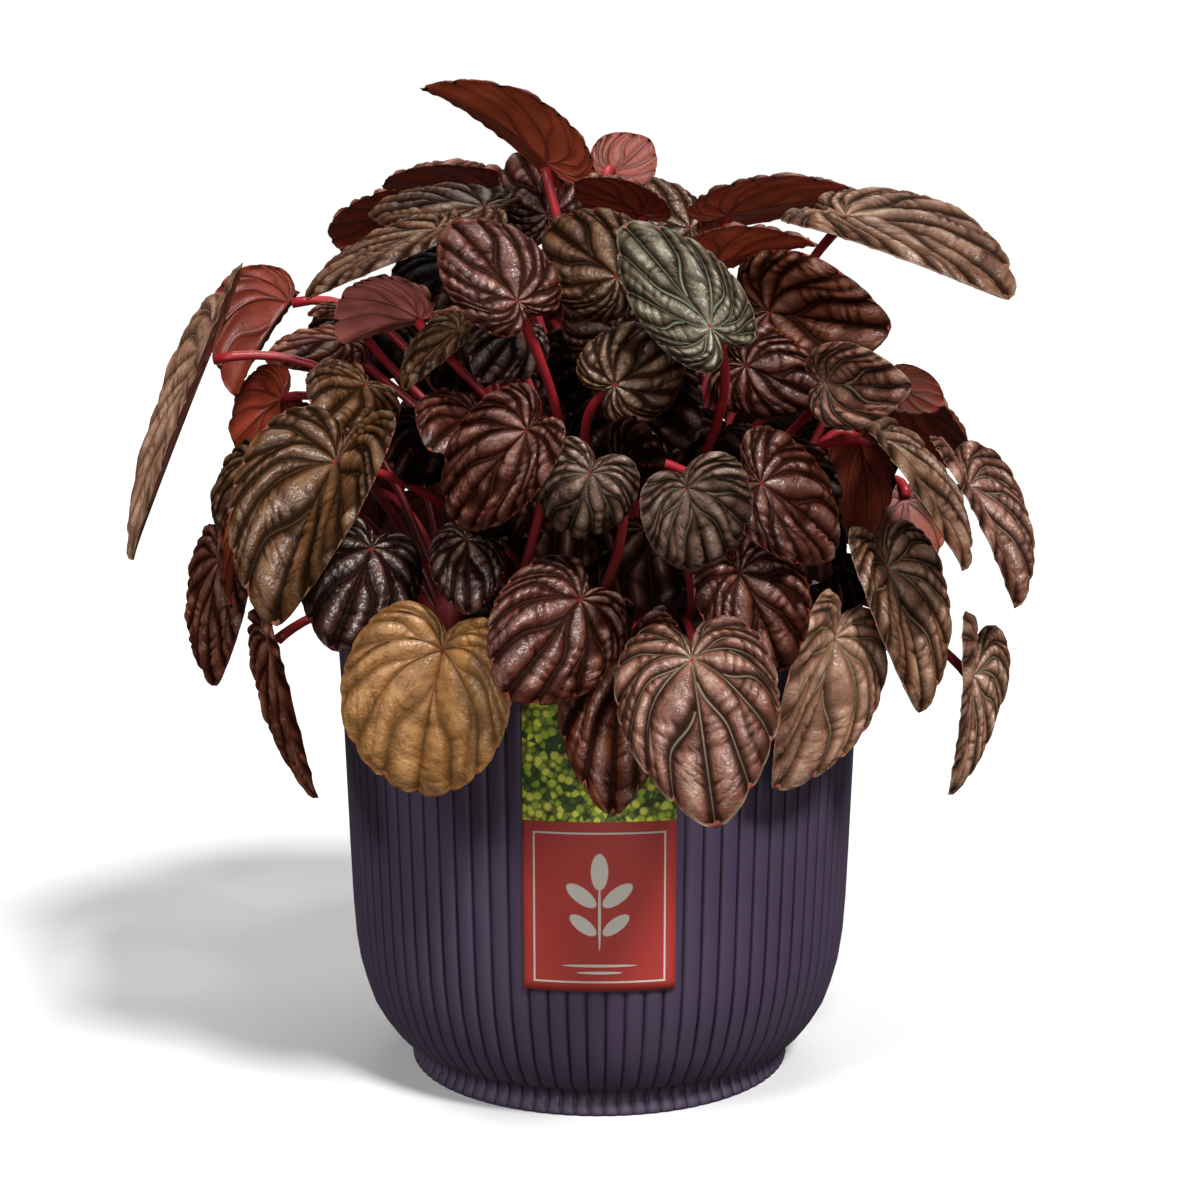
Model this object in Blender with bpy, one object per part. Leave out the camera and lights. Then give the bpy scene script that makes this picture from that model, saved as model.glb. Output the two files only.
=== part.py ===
"""A ripple peperomia, a bushy plant of quilted leaves on long red stalks, in its fluted pot.

Metres, +Z up. The origin is the middle of the pot's flat base, and the front faces -Y.
Each crown of leaves, the soil, the label and the pot is one object.
"""

import math
import random
from dataclasses import dataclass

import bmesh
import bpy
import numpy as np
from mathutils.bvhtree import BVHTree

MM = 0.001
CLEARANCE = 0.3 * MM

# Pot: radius and height of its turned outline, outside and inside
POT_OUTSIDE = [(50.8, 0), (49.8, 5.5), (55.6, 9), (61.0, 17), (65.6, 33), (70, 124)]
POT_INSIDE = [(67.4, 124), (64.0, 42), (56.9, 15.5), (47.2, 8), (44, 4)]
FLUTES = 86
FLUTE_DEPTH = 0.9 * MM
FIRST_GROOVE = 0.33
LINING_SIDES = FLUTES // 2

# Soil: radius and height of its side, and radius and rise of the rings of its top
SOIL_LEVEL = 112 * MM
SOIL_SIDE = [(43.6, 4.3), (46.8, 8.3), (56.4, 15.9), (63.6, 42), (66.8, 112)]
SOIL_RINGS = [(54, 0.5), (31, 1.5)]
SOIL_CROWN = 2.5 * MM
SOIL_SIDES = 24
SOIL_LUMPS = 0.8 * MM
SOIL_SEED = 3

# Label
LABEL_WIDTH = 37 * MM
LABEL_BOTTOM = 38.5 * MM
LABEL_TOP = 119 * MM
LABEL_THICKNESS = 0.8 * MM
LABEL_COLUMNS = 8
LABEL_ROWS = 3

# Crowns: rings of short stems in the soil, as radius, number and turn of the first in degrees
CROWN_RINGS = [(0, 1, 0), (20, 4, 45), (42, 8, 22.5)]
LIKELY_CROWNS = 4
MOST_LEAVES = 11
STEM_RADIUS = 5 * MM
STEM_DEPTH = 9 * MM
STEM_RISE = 20 * MM
STEM_SIDES = 6
STEM_OUTLINE = [(1, 0), (1, STEM_DEPTH + 0.6 * STEM_RISE), (0.6, STEM_DEPTH + STEM_RISE)]
FOLIAGE_FOOT = 118 * MM
WIDEST_ROOT = 50 * MM

# Blades and stalks
BLADE_THICKNESS = 0.9 * MM
BLADE_SPOKES = 12
SPOKE_CROWDING = 1.25
BLADE_ROWS = [(0.55, 1.0), (1.0, 0.6)]
RIPPLE = 1.0 * MM
FULL_CUP = 0.9
STALK_RADIUS = 1.4 * MM
STALK_STEPS = 4
STALK_SIDES = 4
BLADE_ROOM = 2.2 * MM
STALK_ROOM = 0.5 * MM
LOWEST_STALK = 4 * MM
STALK_SPACING = 1.37 * MM
ROOT_OFFSET = 0.45
STALK_LEAN = 0.6
STALK_RISE = 0.42
ARRIVAL_FACE, ARRIVAL_ALONG = 0.8, 0.45
ARRIVAL_RUN = 0.3
ARRIVAL_BOW = 0.4
STUB = 8 * MM
BOW_SIZES = [4, 8, 12, 17, 23, 30, 38]
BOW_WAYS = 10

# Outline of a flat blade: degrees round the joint from the tip, and radius in joint-to-tip lengths
OUTLINE_TURNS = [0, 15, 30, 48, 68, 90, 115, 140, 160, 180]
POINTED_RADII = [1.0, 0.83, 0.69, 0.59, 0.5, 0.44, 0.39, 0.32, 0.22, 0.12]
BLUNT_RADII = [1.0, 0.92, 0.82, 0.7, 0.58, 0.49, 0.43, 0.35, 0.23, 0.12]
VEIN_SWEEP = 25

# Sighting of the photographed leaves: the eye, and the 1200-pixel picture that it sees
EYE = np.array([0, -609, 225]) * MM
LOOK_DOWN = math.radians(9.4)
FOCAL_PIXELS = 2319
PICTURE_MIDDLE = (599.5, 600)


@dataclass(frozen=True)
class Leaf:
    """A leaf sighted in the photograph. Lengths are in millimetres and angles in degrees.

    joint and tip are pixels. out is how far the joint lies in front of the pot's axis. length runs
    from joint to tip, and near says whether the tip points to the eye or away from it. roll turns
    the face about that line, clockwise as seen, from facing the eye. fold raises both halves from
    the midrib, cup lowers the sides again and bend curves the blade down from joint to tip. blunt
    runs from a pointed tip, 0, to a round one, 1, and lobes lengthens the two lobes at the stalk.
    """

    joint: tuple
    tip: tuple
    out: float
    length: float
    width: float = 1.0
    roll: float = 0
    near: bool = True
    fold: float = 6
    cup: float = 24
    bend: float = 20
    blunt: float = 0.4
    lobes: float = 1.0


FRONT_LEAVES = [
    # over the pot's rim
    Leaf((692, 660), (717, 836), 94, 41, 0.98, blunt=0.15, lobes=1.05),
    Leaf((443, 651), (416, 799), 76, 36, 1.15, roll=18, near=False, fold=28, cup=16, blunt=1.0),
    Leaf((628, 652), (612, 823), 75, 41, 0.8, roll=20, fold=16, cup=20, blunt=0.3),
    Leaf((580, 600), (501, 701), 88, 31, 1.0, roll=-6, blunt=0.8),
    Leaf((740, 573), (783, 678), 79, 27.5, 1.08, roll=-24, near=False, fold=22, cup=22, lobes=1.1),
    Leaf((834, 639), (771, 798), 62, 41, 0.9, roll=-47, fold=22, cup=10, blunt=0.3),
    Leaf((887, 569), (922, 721), 44, 38, 0.82, roll=-45, fold=22, cup=10, blunt=0.0, lobes=1.25),
    Leaf((973, 676), (948, 801), 22, 33, 0.55, roll=-54, fold=26, cup=10, blunt=0.0, lobes=1.9),
    # right side
    Leaf((968, 487), (1018, 614), 12, 36, 0.85, roll=-62, fold=24, cup=6, blunt=0.2, lobes=1.5),
    Leaf((876, 437), (968, 577), 38, 44, 0.8, roll=-73, fold=16, cup=6, blunt=0.3),
    Leaf((905, 400), (985, 478), 14, 32, 1.12, roll=-112, fold=0, cup=6),
    Leaf((896, 384), (944, 410), 0, 18, 0.85, roll=150),
    Leaf((827, 383), (915, 386), 60, 23, 0.98, roll=10, fold=24, cup=10, blunt=0.5, lobes=0.85),
    Leaf((761, 484), (840, 554), 72, 28, 1.15, roll=-42, near=False, fold=14, cup=14, blunt=0.5, lobes=1.2),
    # middle of the front
    Leaf((686, 488), (706, 571), 98, 21, 1.35, roll=-20, near=False, fold=28, cup=14, lobes=1.15),
    Leaf((591, 473), (568, 533), 94, 20, 1.15, near=False, bend=60, blunt=0.7, lobes=1.2),
    Leaf((527, 431), (452, 527), 84, 30, 0.9, roll=31, near=False, fold=22, blunt=0.8),
    Leaf((615, 385), (684, 336), 62, 22, 1.1, near=False, blunt=0.7, lobes=1.1),
    Leaf((710, 327), (619, 219), 72, 36, 0.7, roll=8, near=False, blunt=0.3),
    Leaf((517, 301), (446, 220), 66, 27, 0.98, roll=25, near=False, fold=17, blunt=0.6),
    Leaf((746, 366), (824, 400), 70, 21.5, 1.06, near=False, lobes=1.3),
    Leaf((770, 312), (897, 328), 42, 34, 1.08, roll=8, fold=28, cup=10),
    # crest
    Leaf((846, 217), (1017, 304), 10, 51, 0.8, roll=-64, fold=13, cup=14, bend=36, blunt=0.75),
    Leaf((728, 214), (877, 199), -2, 40, 0.82, roll=-111, fold=10, cup=6),
    Leaf((717, 263), (820, 244), 22, 30, 0.9, roll=-110, fold=18, cup=6),
    Leaf((547, 162), (416, 86), 6, 40, 0.82, roll=113, fold=18, cup=4, bend=34, blunt=0.6),
    Leaf((610, 174), (651, 138), -10, 17, 1.05, roll=165, near=False, blunt=0.8, lobes=0.8),
    Leaf((548, 215), (517, 147), 18, 28, 0.9, near=False),
    Leaf((640, 212), (575, 178), 8, 24, 0.85, roll=130),
    Leaf((690, 228), (614, 176), 0, 27, 0.8, roll=40, near=False),
    Leaf((617, 277), (545, 222), 46, 30, 0.95, near=False),
    Leaf((615, 330), (566, 292), 26, 24, 1.0, near=False),
    Leaf((520, 328), (475, 382), 44, 25, 0.85),
    # left side
    Leaf((458, 330), (402, 393), 60, 22, 0.75, roll=50, fold=22, cup=16, blunt=0.3),
    Leaf((475, 415), (426, 450), 52, 25, 1.0, roll=20),
    Leaf((467, 540), (468, 618), 74, 20, 0.95),
    Leaf((371, 549), (330, 655), 60, 29, 1.08),
    Leaf((336, 463), (273, 634), 66, 45, 0.92, roll=35, fold=30, cup=8, blunt=0.4, lobes=1.15),
    Leaf((208, 357), (127, 569), 22, 60, 0.6, roll=80, fold=17, cup=4, bend=2, blunt=0.3, lobes=1.5),
    Leaf((288, 302), (234, 403), -10, 33, 1.15, roll=126, fold=36, cup=0, blunt=0.3, lobes=0.7),
    Leaf((393, 222), (327, 224), -40, 26, 0.95, roll=140),
    Leaf((490, 188), (378, 183), -26, 32, 0.9, roll=116, blunt=0.8, lobes=0.8),
    Leaf((483, 207), (366, 211), -2, 33, 0.9, roll=69, near=False, blunt=1.0),
    Leaf((436, 230), (300, 302), 22, 40, 0.66, roll=70, fold=8, cup=16),
    Leaf((420, 318), (338, 346), 40, 30, 1.05, roll=122, near=False, fold=28, cup=8, lobes=1.2),
    Leaf((356, 312), (306, 314), 10, 16, 0.6, roll=60),
    Leaf((220, 560), (215, 692), 6, 35, 0.85, roll=58, fold=4, cup=16, lobes=1.4),
    Leaf((272, 641), (318, 806), 42, 43, 0.7, roll=76, fold=14, cup=8, bend=4),
    Leaf((245, 518), (230, 612), 32, 27, 0.7, roll=105, fold=20),
    Leaf((252, 458), (223, 538), 26, 24, 0.9, roll=50, lobes=1.2),
    Leaf((343, 340), (262, 362), 20, 23, 1.0, roll=56, fold=0),
    Leaf((365, 385), (320, 425), 38, 26, 1.0, roll=15),
    Leaf((280, 398), (230, 446), -4, 24, 1.1, roll=150),
    # inside the plant, behind those
    Leaf((640, 400), (700, 440), 46, 30, 1.0),
    Leaf((590, 360), (545, 410), 40, 28, 1.0),
    Leaf((620, 460), (668, 450), 66, 21, 1.0),
    Leaf((762, 468), (845, 505), 56, 24, 1.0, roll=-15),
    Leaf((835, 560), (848, 612), 35, 18, 1.0, roll=-30),
    Leaf((862, 440), (868, 545), 14, 30, 0.95, roll=-130),
    Leaf((905, 500), (915, 575), 16, 24, 0.9, roll=165),
    Leaf((440, 430), (405, 485), 34, 30, 1.0, roll=10),
    Leaf((505, 480), (475, 540), 50, 30, 1.0),
    Leaf((560, 505), (550, 580), 46, 32, 1.0),
    Leaf((645, 530), (655, 615), 52, 32, 1.0),
    Leaf((725, 430), (700, 490), 28, 33, 1.0),
    Leaf((800, 435), (820, 500), 16, 32, 1.0, roll=-15),
    Leaf((790, 510), (785, 595), 30, 33, 1.0, roll=-15),
    Leaf((462, 345), (440, 395), 26, 26, 0.9),
    Leaf((375, 320), (350, 390), 0, 36, 1.0, roll=10),
    Leaf((330, 420), (320, 500), 8, 34, 1.0, roll=10),
    Leaf((612, 412), (598, 470), 30, 24, 1.0),
    Leaf((455, 262), (415, 325), 4, 30, 1.0, roll=20),
]
SETBACKS = [0, 2, -2, 4, -4, 6, -6, 8, 11, 14, 17, 20, 24, 28, 32, 36, 40]

# Leaves of the sides and back, which the photograph hides
HIDDEN_LEAVES = 20
HIDDEN_SEED = 7
HIDDEN_AZIMUTHS = (12, 168)
HIDDEN_RISES = [-14, 5, 24, 42, 58]
RISE_SPREAD = 8
HIDDEN_DEPTHS = (0.72, 1.0)
UPWARD_TILTS = (0.2, 0.7)
MOST_SWING = 50
HIDDEN_LENGTHS = (32, 46)
HIDDEN_WIDTHS = (0.85, 1.05)
HIDDEN_BLUNTNESS = (0.2, 0.8)
HIDDEN_FOLD, HIDDEN_CUP, HIDDEN_BEND = 6, 24, 24
DOME_MIDDLE = np.array([-4, 0, 138]) * MM
DOME_REACH = np.array([92, 88, 92]) * MM
PLANT_MIDDLE = np.array([600, 430])
PLANT_REACH = np.array([340, 235])


def unit(vector):
    return vector / np.linalg.norm(vector)


def sight(pixel):
    """Unit direction from the eye through a pixel of the photograph."""
    right = (pixel[0] - PICTURE_MIDDLE[0]) / FOCAL_PIXELS
    up = (PICTURE_MIDDLE[1] - pixel[1]) / FOCAL_PIXELS
    ahead = np.array([0, math.cos(LOOK_DOWN), -math.sin(LOOK_DOWN)])
    above = np.array([0, math.sin(LOOK_DOWN), math.cos(LOOK_DOWN)])
    return unit(ahead + right * np.array([1, 0, 0]) + up * above)


@dataclass
class Blade:
    """A blade where it grows: its joint, the way to its tip and the way that it faces."""

    joint: np.ndarray
    along: np.ndarray
    face: np.ndarray
    length: float
    width: float
    fold: float
    cup: float
    bend: float
    blunt: float
    lobes: float


def pixels(points):
    """Where points fall in the photograph."""
    from_eye = points - EYE
    ahead = np.array([0, math.cos(LOOK_DOWN), -math.sin(LOOK_DOWN)])
    above = np.array([0, math.sin(LOOK_DOWN), math.cos(LOOK_DOWN)])
    depth = from_eye @ ahead
    right = PICTURE_MIDDLE[0] + FOCAL_PIXELS * from_eye[:, 0] / depth
    return np.stack([right, PICTURE_MIDDLE[1] - FOCAL_PIXELS * (from_eye @ above) / depth], axis=1)


def sighted_blade(leaf, setback):
    ray = sight(leaf.joint)
    joint = EYE + ray * ((-(leaf.out - setback) * MM - EYE[1]) / ray[1])
    toward_tip = sight(leaf.tip)
    length = leaf.length * MM
    nearest = (joint - EYE) @ toward_tip
    miss = np.linalg.norm(EYE + toward_tip * nearest - joint)
    reach = math.sqrt(max(length**2 - miss**2, 0))
    tip = EYE + toward_tip * (nearest - reach if leaf.near else nearest + reach)
    along = unit(tip - joint)
    to_eye = EYE - joint
    facing = unit(to_eye - (to_eye @ along) * along)
    side = np.cross(along, facing)
    roll = math.radians(leaf.roll)
    face = facing * math.cos(roll) + side * math.sin(roll)
    form = (leaf.width, leaf.fold, leaf.cup, leaf.bend, leaf.blunt, leaf.lobes)
    return Blade(joint, along, face, length, *form)


def hidden_blade(draw):
    """A leaf of the dome's back or sides, hanging outwards, its face turned out and up."""
    azimuth = math.radians(draw.uniform(*HIDDEN_AZIMUTHS))
    rise = math.radians(draw.choice(HIDDEN_RISES) + draw.uniform(-RISE_SPREAD, RISE_SPREAD))
    level = np.array([math.cos(azimuth), math.sin(azimuth), 0])
    outward = level * math.cos(rise) + np.array([0, 0, math.sin(rise)])
    joint = DOME_MIDDLE + outward * DOME_REACH * draw.uniform(*HIDDEN_DEPTHS)
    face = unit(outward + np.array([0, 0, draw.uniform(*UPWARD_TILTS)]))
    downhill = unit(np.array([0, 0, -1]) + face[2] * face)
    swing = math.radians(draw.uniform(-MOST_SWING, MOST_SWING))
    along = downhill * math.cos(swing) + np.cross(face, downhill) * math.sin(swing)
    length = draw.uniform(*HIDDEN_LENGTHS) * MM
    width = draw.uniform(*HIDDEN_WIDTHS)
    blunt = draw.uniform(*HIDDEN_BLUNTNESS)
    return Blade(joint, along, face, length, width, HIDDEN_FOLD, HIDDEN_CUP, HIDDEN_BEND, blunt, 1.0)


def edge_radius(blade, turn):
    """Distance from joint to edge: a smooth curve through the outline's points."""
    turns = np.array(OUTLINE_TURNS, float)
    radii = (1 - blade.blunt) * np.array(POINTED_RADII) + blade.blunt * np.array(BLUNT_RADII)
    radii = radii * (1 + (blade.lobes - 1) * np.clip((turns - 60) / 60, 0, 1))
    slopes = np.gradient(radii, turns)
    i = np.clip(np.searchsorted(turns, turn, side="right") - 1, 0, len(turns) - 2)
    span = turns[i + 1] - turns[i]
    t = (turn - turns[i]) / span
    start = (1 + 2 * t) * (1 - t) ** 2 * radii[i] + t * (1 - t) ** 2 * span * slopes[i]
    return start + t**2 * (3 - 2 * t) * radii[i + 1] + t**2 * (t - 1) * span * slopes[i + 1]


def sinc(angle):
    return np.sinc(angle / math.pi)


def flat_blade(blade, turn, reach):
    """Points of a flat blade, in joint-to-tip lengths, on veins that sweep from the joint to the tip."""
    radius = edge_radius(blade, np.abs(turn))
    edge = np.radians(turn)
    start = edge + math.radians(VEIN_SWEEP) * np.sin(edge)
    ahead = reach * (1 - reach) * np.cos(start) + reach**2 * np.cos(edge)
    aside = reach * (1 - reach) * np.sin(start) + reach**2 * np.sin(edge)
    return radius * ahead, radius * aside


def curved_blade(blade, ahead, aside, lift):
    """World points of a flat blade's points once it is folded, cupped and bent."""
    aside = aside * blade.width
    cup = math.radians(blade.cup) * np.abs(aside) / FULL_CUP
    lean = math.radians(blade.fold) - cup
    spread = np.abs(aside) * sinc(cup)
    across = np.sign(aside) * spread * np.cos(lean) - lift * np.sign(aside) * np.sin(lean)
    height = spread * np.sin(lean) + lift * np.cos(lean)
    bend = math.radians(blade.bend)
    chord = ahead * sinc(bend * ahead / 2)
    x = chord * np.cos(bend * ahead / 2) + height * np.sin(bend * ahead)
    z = height * np.cos(bend * ahead) - chord * np.sin(bend * ahead / 2)
    full = sinc(np.array(bend / 2))
    level = (x * math.cos(bend / 2) - z * math.sin(bend / 2)) / full
    height = (x * math.sin(bend / 2) + z * math.cos(bend / 2)) / full
    side = np.cross(blade.along, blade.face)
    local = level[:, None] * blade.along + across[:, None] * side + height[:, None] * blade.face
    return blade.joint + blade.length * local


def blade_sheet(blade):
    """Points of the rippled sheet and its triangles: a fan round the joint and a ring to the edge."""
    half = np.arange(BLADE_SPOKES // 2 + 1) / (BLADE_SPOKES // 2)
    turns = 180 * half**SPOKE_CROWDING
    turns = np.concatenate([turns, -turns[-2:0:-1]])
    ridge = np.where(np.arange(BLADE_SPOKES) % 2, 1, -1) * RIPPLE / blade.length
    turn = np.concatenate([[0], *[turns for _ in BLADE_ROWS]])
    reach = np.concatenate([[0], *[np.full(BLADE_SPOKES, at) for at, _ in BLADE_ROWS]])
    lift = np.concatenate([[0], *[ridge * share for _, share in BLADE_ROWS]])
    points = curved_blade(blade, *flat_blade(blade, turn, reach), lift)
    faces = []
    for i in range(BLADE_SPOKES):
        j = (i + 1) % BLADE_SPOKES
        a, b, c, d = 1 + i, 1 + j, 1 + BLADE_SPOKES + i, 1 + BLADE_SPOKES + j
        faces += [(0, b, a), (a, b, c), (b, d, c)]
    return points, np.array(faces)


def thickened(points, faces, thickness):
    """The closed blade round a sheet, split into triangles alike on both faces."""
    corners = points[faces]
    normals = np.cross(corners[:, 1] - corners[:, 0], corners[:, 2] - corners[:, 0])
    at_points = np.zeros_like(points)
    for k in range(3):
        np.add.at(at_points, faces[:, k], normals)
    at_points /= np.linalg.norm(at_points, axis=1)[:, None]
    offset = at_points * thickness / 2
    n = len(points)
    rim = list(range(n - BLADE_SPOKES, n))
    edge = []
    for a, b in zip(rim, rim[1:] + rim[:1]):
        edge += [(a, b, b + n), (a, b + n, a + n)]
    solid = np.concatenate([points + offset, points - offset])
    return solid, np.concatenate([faces, faces[:, ::-1] + n, np.array(edge)])


def leaf_mesh(blade, path):
    """Blade and stalk as one closed mesh: the fan under the joint opens round the stalk's last ring."""
    sheet, fan = blade_sheet(blade)
    points, faces = thickened(sheet, fan, BLADE_THICKNESS)
    n = len(sheet)
    under = n
    faces = [tuple(face) for face in faces if under not in face]
    stalk, sides = tube(path[::-1], [STALK_RADIUS] * len(path), STALK_SIDES, blade.along)
    collar = stalk[:STALK_SIDES]
    first = len(points)
    spokes = [points[n + 1 + k] - points[under] for k in range(BLADE_SPOKES)]
    corners = [corner - collar.mean(axis=0) for corner in collar]
    side = np.cross(blade.along, blade.face)

    def turn(vector):
        return math.atan2(vector @ side, vector @ blade.along)

    def nearest(vector):
        gaps = [abs(math.remainder(turn(corner) - turn(vector), 2 * math.pi)) for corner in corners]
        return gaps.index(min(gaps))

    ends = [nearest(spoke) for spoke in spokes]
    for k in range(BLADE_SPOKES):
        j = (k + 1) % BLADE_SPOKES
        a, b = n + 1 + k, n + 1 + j
        faces.append((first + ends[k], a, b))
        if ends[k] != ends[j]:
            faces.append((first + ends[k], b, first + ends[j]))
    faces += [tuple(first + i for i in face) for face in sides]
    return np.concatenate([points, stalk]), faces


def bezier(p0, p1, p2, p3, steps):
    t = np.linspace(0, 1, steps + 1)[:, None]
    return (1 - t) ** 3 * p0 + 3 * (1 - t) ** 2 * t * p1 + 3 * (1 - t) * t**2 * p2 + t**3 * p3


def tube(path, radii, sides, start=(0.31, 0.87, 0.39)):
    """Points and faces of a tube along a path, its first ring turned to start, its far end closed."""
    points, faces = [], []
    tangents = np.gradient(path, axis=0)
    across = np.array(start)
    for at, tangent, radius in zip(path, tangents, radii):
        tangent = unit(tangent)
        across = unit(across - (across @ tangent) * tangent)
        up = np.cross(tangent, across)
        for k in range(sides):
            turn = 2 * math.pi * (k + 0.5) / sides
            points.append(at + radius * (across * math.cos(turn) + up * math.sin(turn)))
    for row in range(len(path) - 1):
        for k in range(sides):
            a, b = row * sides + k, row * sides + (k + 1) % sides
            faces += [(a, b, b + sides), (a, b + sides, a + sides)]
    last = (len(path) - 1) * sides
    faces += [(last, last + k, last + k + 1) for k in range(1, sides - 1)]
    return np.array(points), faces


def tree(points, faces):
    return BVHTree.FromPolygons([tuple(p) for p in points], [tuple(int(i) for i in f) for f in faces])


def object_tree(obj):
    return tree([v.co for v in obj.data.vertices], [p.vertices for p in obj.data.polygons])


def touches(one, others):
    return sum(bool(one.overlap(other)) for other in others)


def sunk(blade):
    """Whether a blade reaches into the pot."""
    points = blade_sheet(blade)[0]
    rim_radius, rim_height = np.array(POT_OUTSIDE[-1]) * MM
    inside = np.hypot(points[:, 0], points[:, 1]) < rim_radius
    return bool((inside & (points[:, 2] < rim_height)).any())


def crown_places():
    places = []
    for radius, count, turn in CROWN_RINGS:
        for k in range(count):
            azimuth = math.radians(turn + 360 * k / count)
            places.append(np.array([radius * math.cos(azimuth), radius * math.sin(azimuth), 0]) * MM)
    return places


def likely_crowns(blade, places):
    """Crowns that a blade can grow from, best first: the lower the leaf, the further out."""
    x, y, z = blade.joint
    spread = math.atan2(math.hypot(x, y), z - FOLIAGE_FOOT) / (math.pi / 2)
    root = unit(np.array([x, y, 0])) * spread * WIDEST_ROOT
    return np.argsort([np.linalg.norm(root - place) for place in places])[:LIKELY_CROWNS]


def arrival(blade):
    """The way that a stalk grows where it meets the back of its blade."""
    return unit(ARRIVAL_FACE * blade.face + ARRIVAL_ALONG * blade.along)


def stalk_end(blade):
    return blade.joint - blade.face * (BLADE_THICKNESS + STALK_RADIUS * 0.4)


def stalk_path(blade, root, bow):
    """The curve of a stalk: up and outwards from its stem, then into the back of the blade."""
    span = np.linalg.norm(blade.joint - root)
    outward = blade.joint - root
    outward[2] = 0
    leave = unit(np.array([0, 0, 1]) + STALK_LEAN * outward / span)
    end = stalk_end(blade)
    p1 = root + leave * STALK_RISE * span + bow
    p2 = end - arrival(blade) * ARRIVAL_RUN * span + ARRIVAL_BOW * bow
    return bezier(root, p1, p2, end, STALK_STEPS)


def bows(blade, root):
    """Sideways bows to try, the smallest first."""
    line = unit(blade.joint - root)
    side = unit(np.cross(line, [0, 0, 1]))
    up = np.cross(side, line)
    found = [np.zeros(3)]
    for size in BOW_SIZES:
        for k in range(BOW_WAYS):
            turn = 2 * math.pi * k / BOW_WAYS
            found.append(size * MM * (side * math.cos(turn) + up * math.sin(turn)))
    return found


def stalk_root(blade, place, turn):
    """Where a stalk leaves its stem: on the blade's side, each higher than the one before."""
    outward = blade.joint - place
    outward[2] = 0
    height = SOIL_LEVEL + LOWEST_STALK + turn * STALK_SPACING
    return place + unit(outward) * ROOT_OFFSET * STEM_RADIUS + np.array([0, 0, height])


def blade_room(blade):
    """The space that a blade and the end of its stalk need."""
    points, faces = thickened(*blade_sheet(blade), BLADE_ROOM)
    stub = [stalk_end(blade), stalk_end(blade) - STUB * arrival(blade)]
    more, sides = tube(np.array(stub), [STALK_RADIUS + STALK_ROOM] * 2, STALK_SIDES)
    more_faces = [[len(points) + i for i in face] for face in sides]
    return tree(np.concatenate([points, more]), [*faces, *more_faces])


class Plant:
    """The leaves placed so far: their blades, stalks and crowns, and the space that they take."""

    def __init__(self, still):
        self.still = still
        self.places = crown_places()
        self.blades, self.rooms = [], []
        self.paths, self.crowns, self.stalks = {}, {}, []

    def blade_hits(self, blade, room):
        """How much a blade touches, stalks of leaves that are already grown included."""
        stalks = [whole for _, whole, _ in self.stalks]
        return touches(room, [*self.still, *self.rooms, *stalks]) + 5 * sunk(blade)

    def place_sighted(self, leaf):
        """Sets a photographed leaf back along its sight until it is clear of those before it."""
        tries = [sighted_blade(leaf, setback) for setback in SETBACKS]
        rooms = [blade_room(blade) for blade in tries]
        hits = [self.blade_hits(blade, room) for blade, room in zip(tries, rooms)]
        best = hits.index(min(hits))
        self.blades.append(tries[best])
        self.rooms.append(rooms[best])

    def stalk_tries(self, i):
        """Stalks for a blade, as hits, crown, path and spaces, up to the first that is clear."""
        blade = self.blades[i]
        own = tree(*thickened(*blade_sheet(blade), BLADE_ROOM))
        others = [room for j, room in enumerate(self.rooms) if j != i] + self.still
        grown = list(self.crowns.values())
        for crown in likely_crowns(blade, self.places):
            if grown.count(crown) >= MOST_LEAVES:
                continue
            root = stalk_root(blade, self.places[crown], grown.count(crown))
            strange = others + [whole for number, whole, _ in self.stalks if number != crown]
            siblings = [beyond for number, _, beyond in self.stalks if number == crown]
            for bow in bows(blade, root):
                path = stalk_path(blade, root, bow)
                radii = [STALK_RADIUS + STALK_ROOM] * len(path)
                whole = tree(*tube(path, radii, STALK_SIDES))
                beyond = tree(*tube(path[1:], radii[1:], STALK_SIDES))
                below = tree(*tube(path[:-1], radii[:-1], STALK_SIDES))
                hits = 3 * touches(whole, strange) + touches(beyond, siblings) + touches(below, [own])
                yield hits, crown, path, whole, beyond
                if not hits:
                    return

    def grow_stalk(self, i, most_hits):
        """Gives a blade the clearest stalk, and says whether one was clear enough."""
        hits, crown, path, whole, beyond = min(self.stalk_tries(i), key=lambda found: found[0])
        if hits > most_hits:
            return False
        self.paths[i], self.crowns[i] = path, crown
        self.stalks.append((crown, whole, beyond))
        return True

    def grow_hidden(self, draw):
        """Draws one leaf for the sides or back, and keeps it where it and its stalk are clear."""
        blade = hidden_blade(draw)
        from_middle = (pixels(blade_sheet(blade)[0]) - PLANT_MIDDLE) / PLANT_REACH
        room = blade_room(blade)
        if np.linalg.norm(from_middle, axis=1).max() > 1 or self.blade_hits(blade, room):
            return
        self.blades.append(blade)
        self.rooms.append(room)
        if not self.grow_stalk(len(self.blades) - 1, 0):
            self.blades.pop()
            self.rooms.pop()


def grown_plant(still):
    plant = Plant(still)
    for leaf in FRONT_LEAVES:
        plant.place_sighted(leaf)
    for i in sorted(range(len(plant.blades)), key=lambda i: np.linalg.norm(plant.blades[i].joint)):
        plant.grow_stalk(i, math.inf)
    draw = random.Random(HIDDEN_SEED)
    while len(plant.blades) < len(FRONT_LEAVES) + HIDDEN_LEAVES:
        plant.grow_hidden(draw)
    return plant


def mesh_object(name, points, faces):
    mesh = bpy.data.meshes.new(name)
    mesh.from_pydata([tuple(p) for p in points], [], [tuple(int(i) for i in f) for f in faces])
    outward = bmesh.new()
    outward.from_mesh(mesh)
    bmesh.ops.recalc_face_normals(outward, faces=outward.faces)
    outward.to_mesh(mesh)
    outward.free()
    obj = bpy.data.objects.new(name, mesh)
    bpy.context.scene.collection.objects.link(obj)
    return obj


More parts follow.
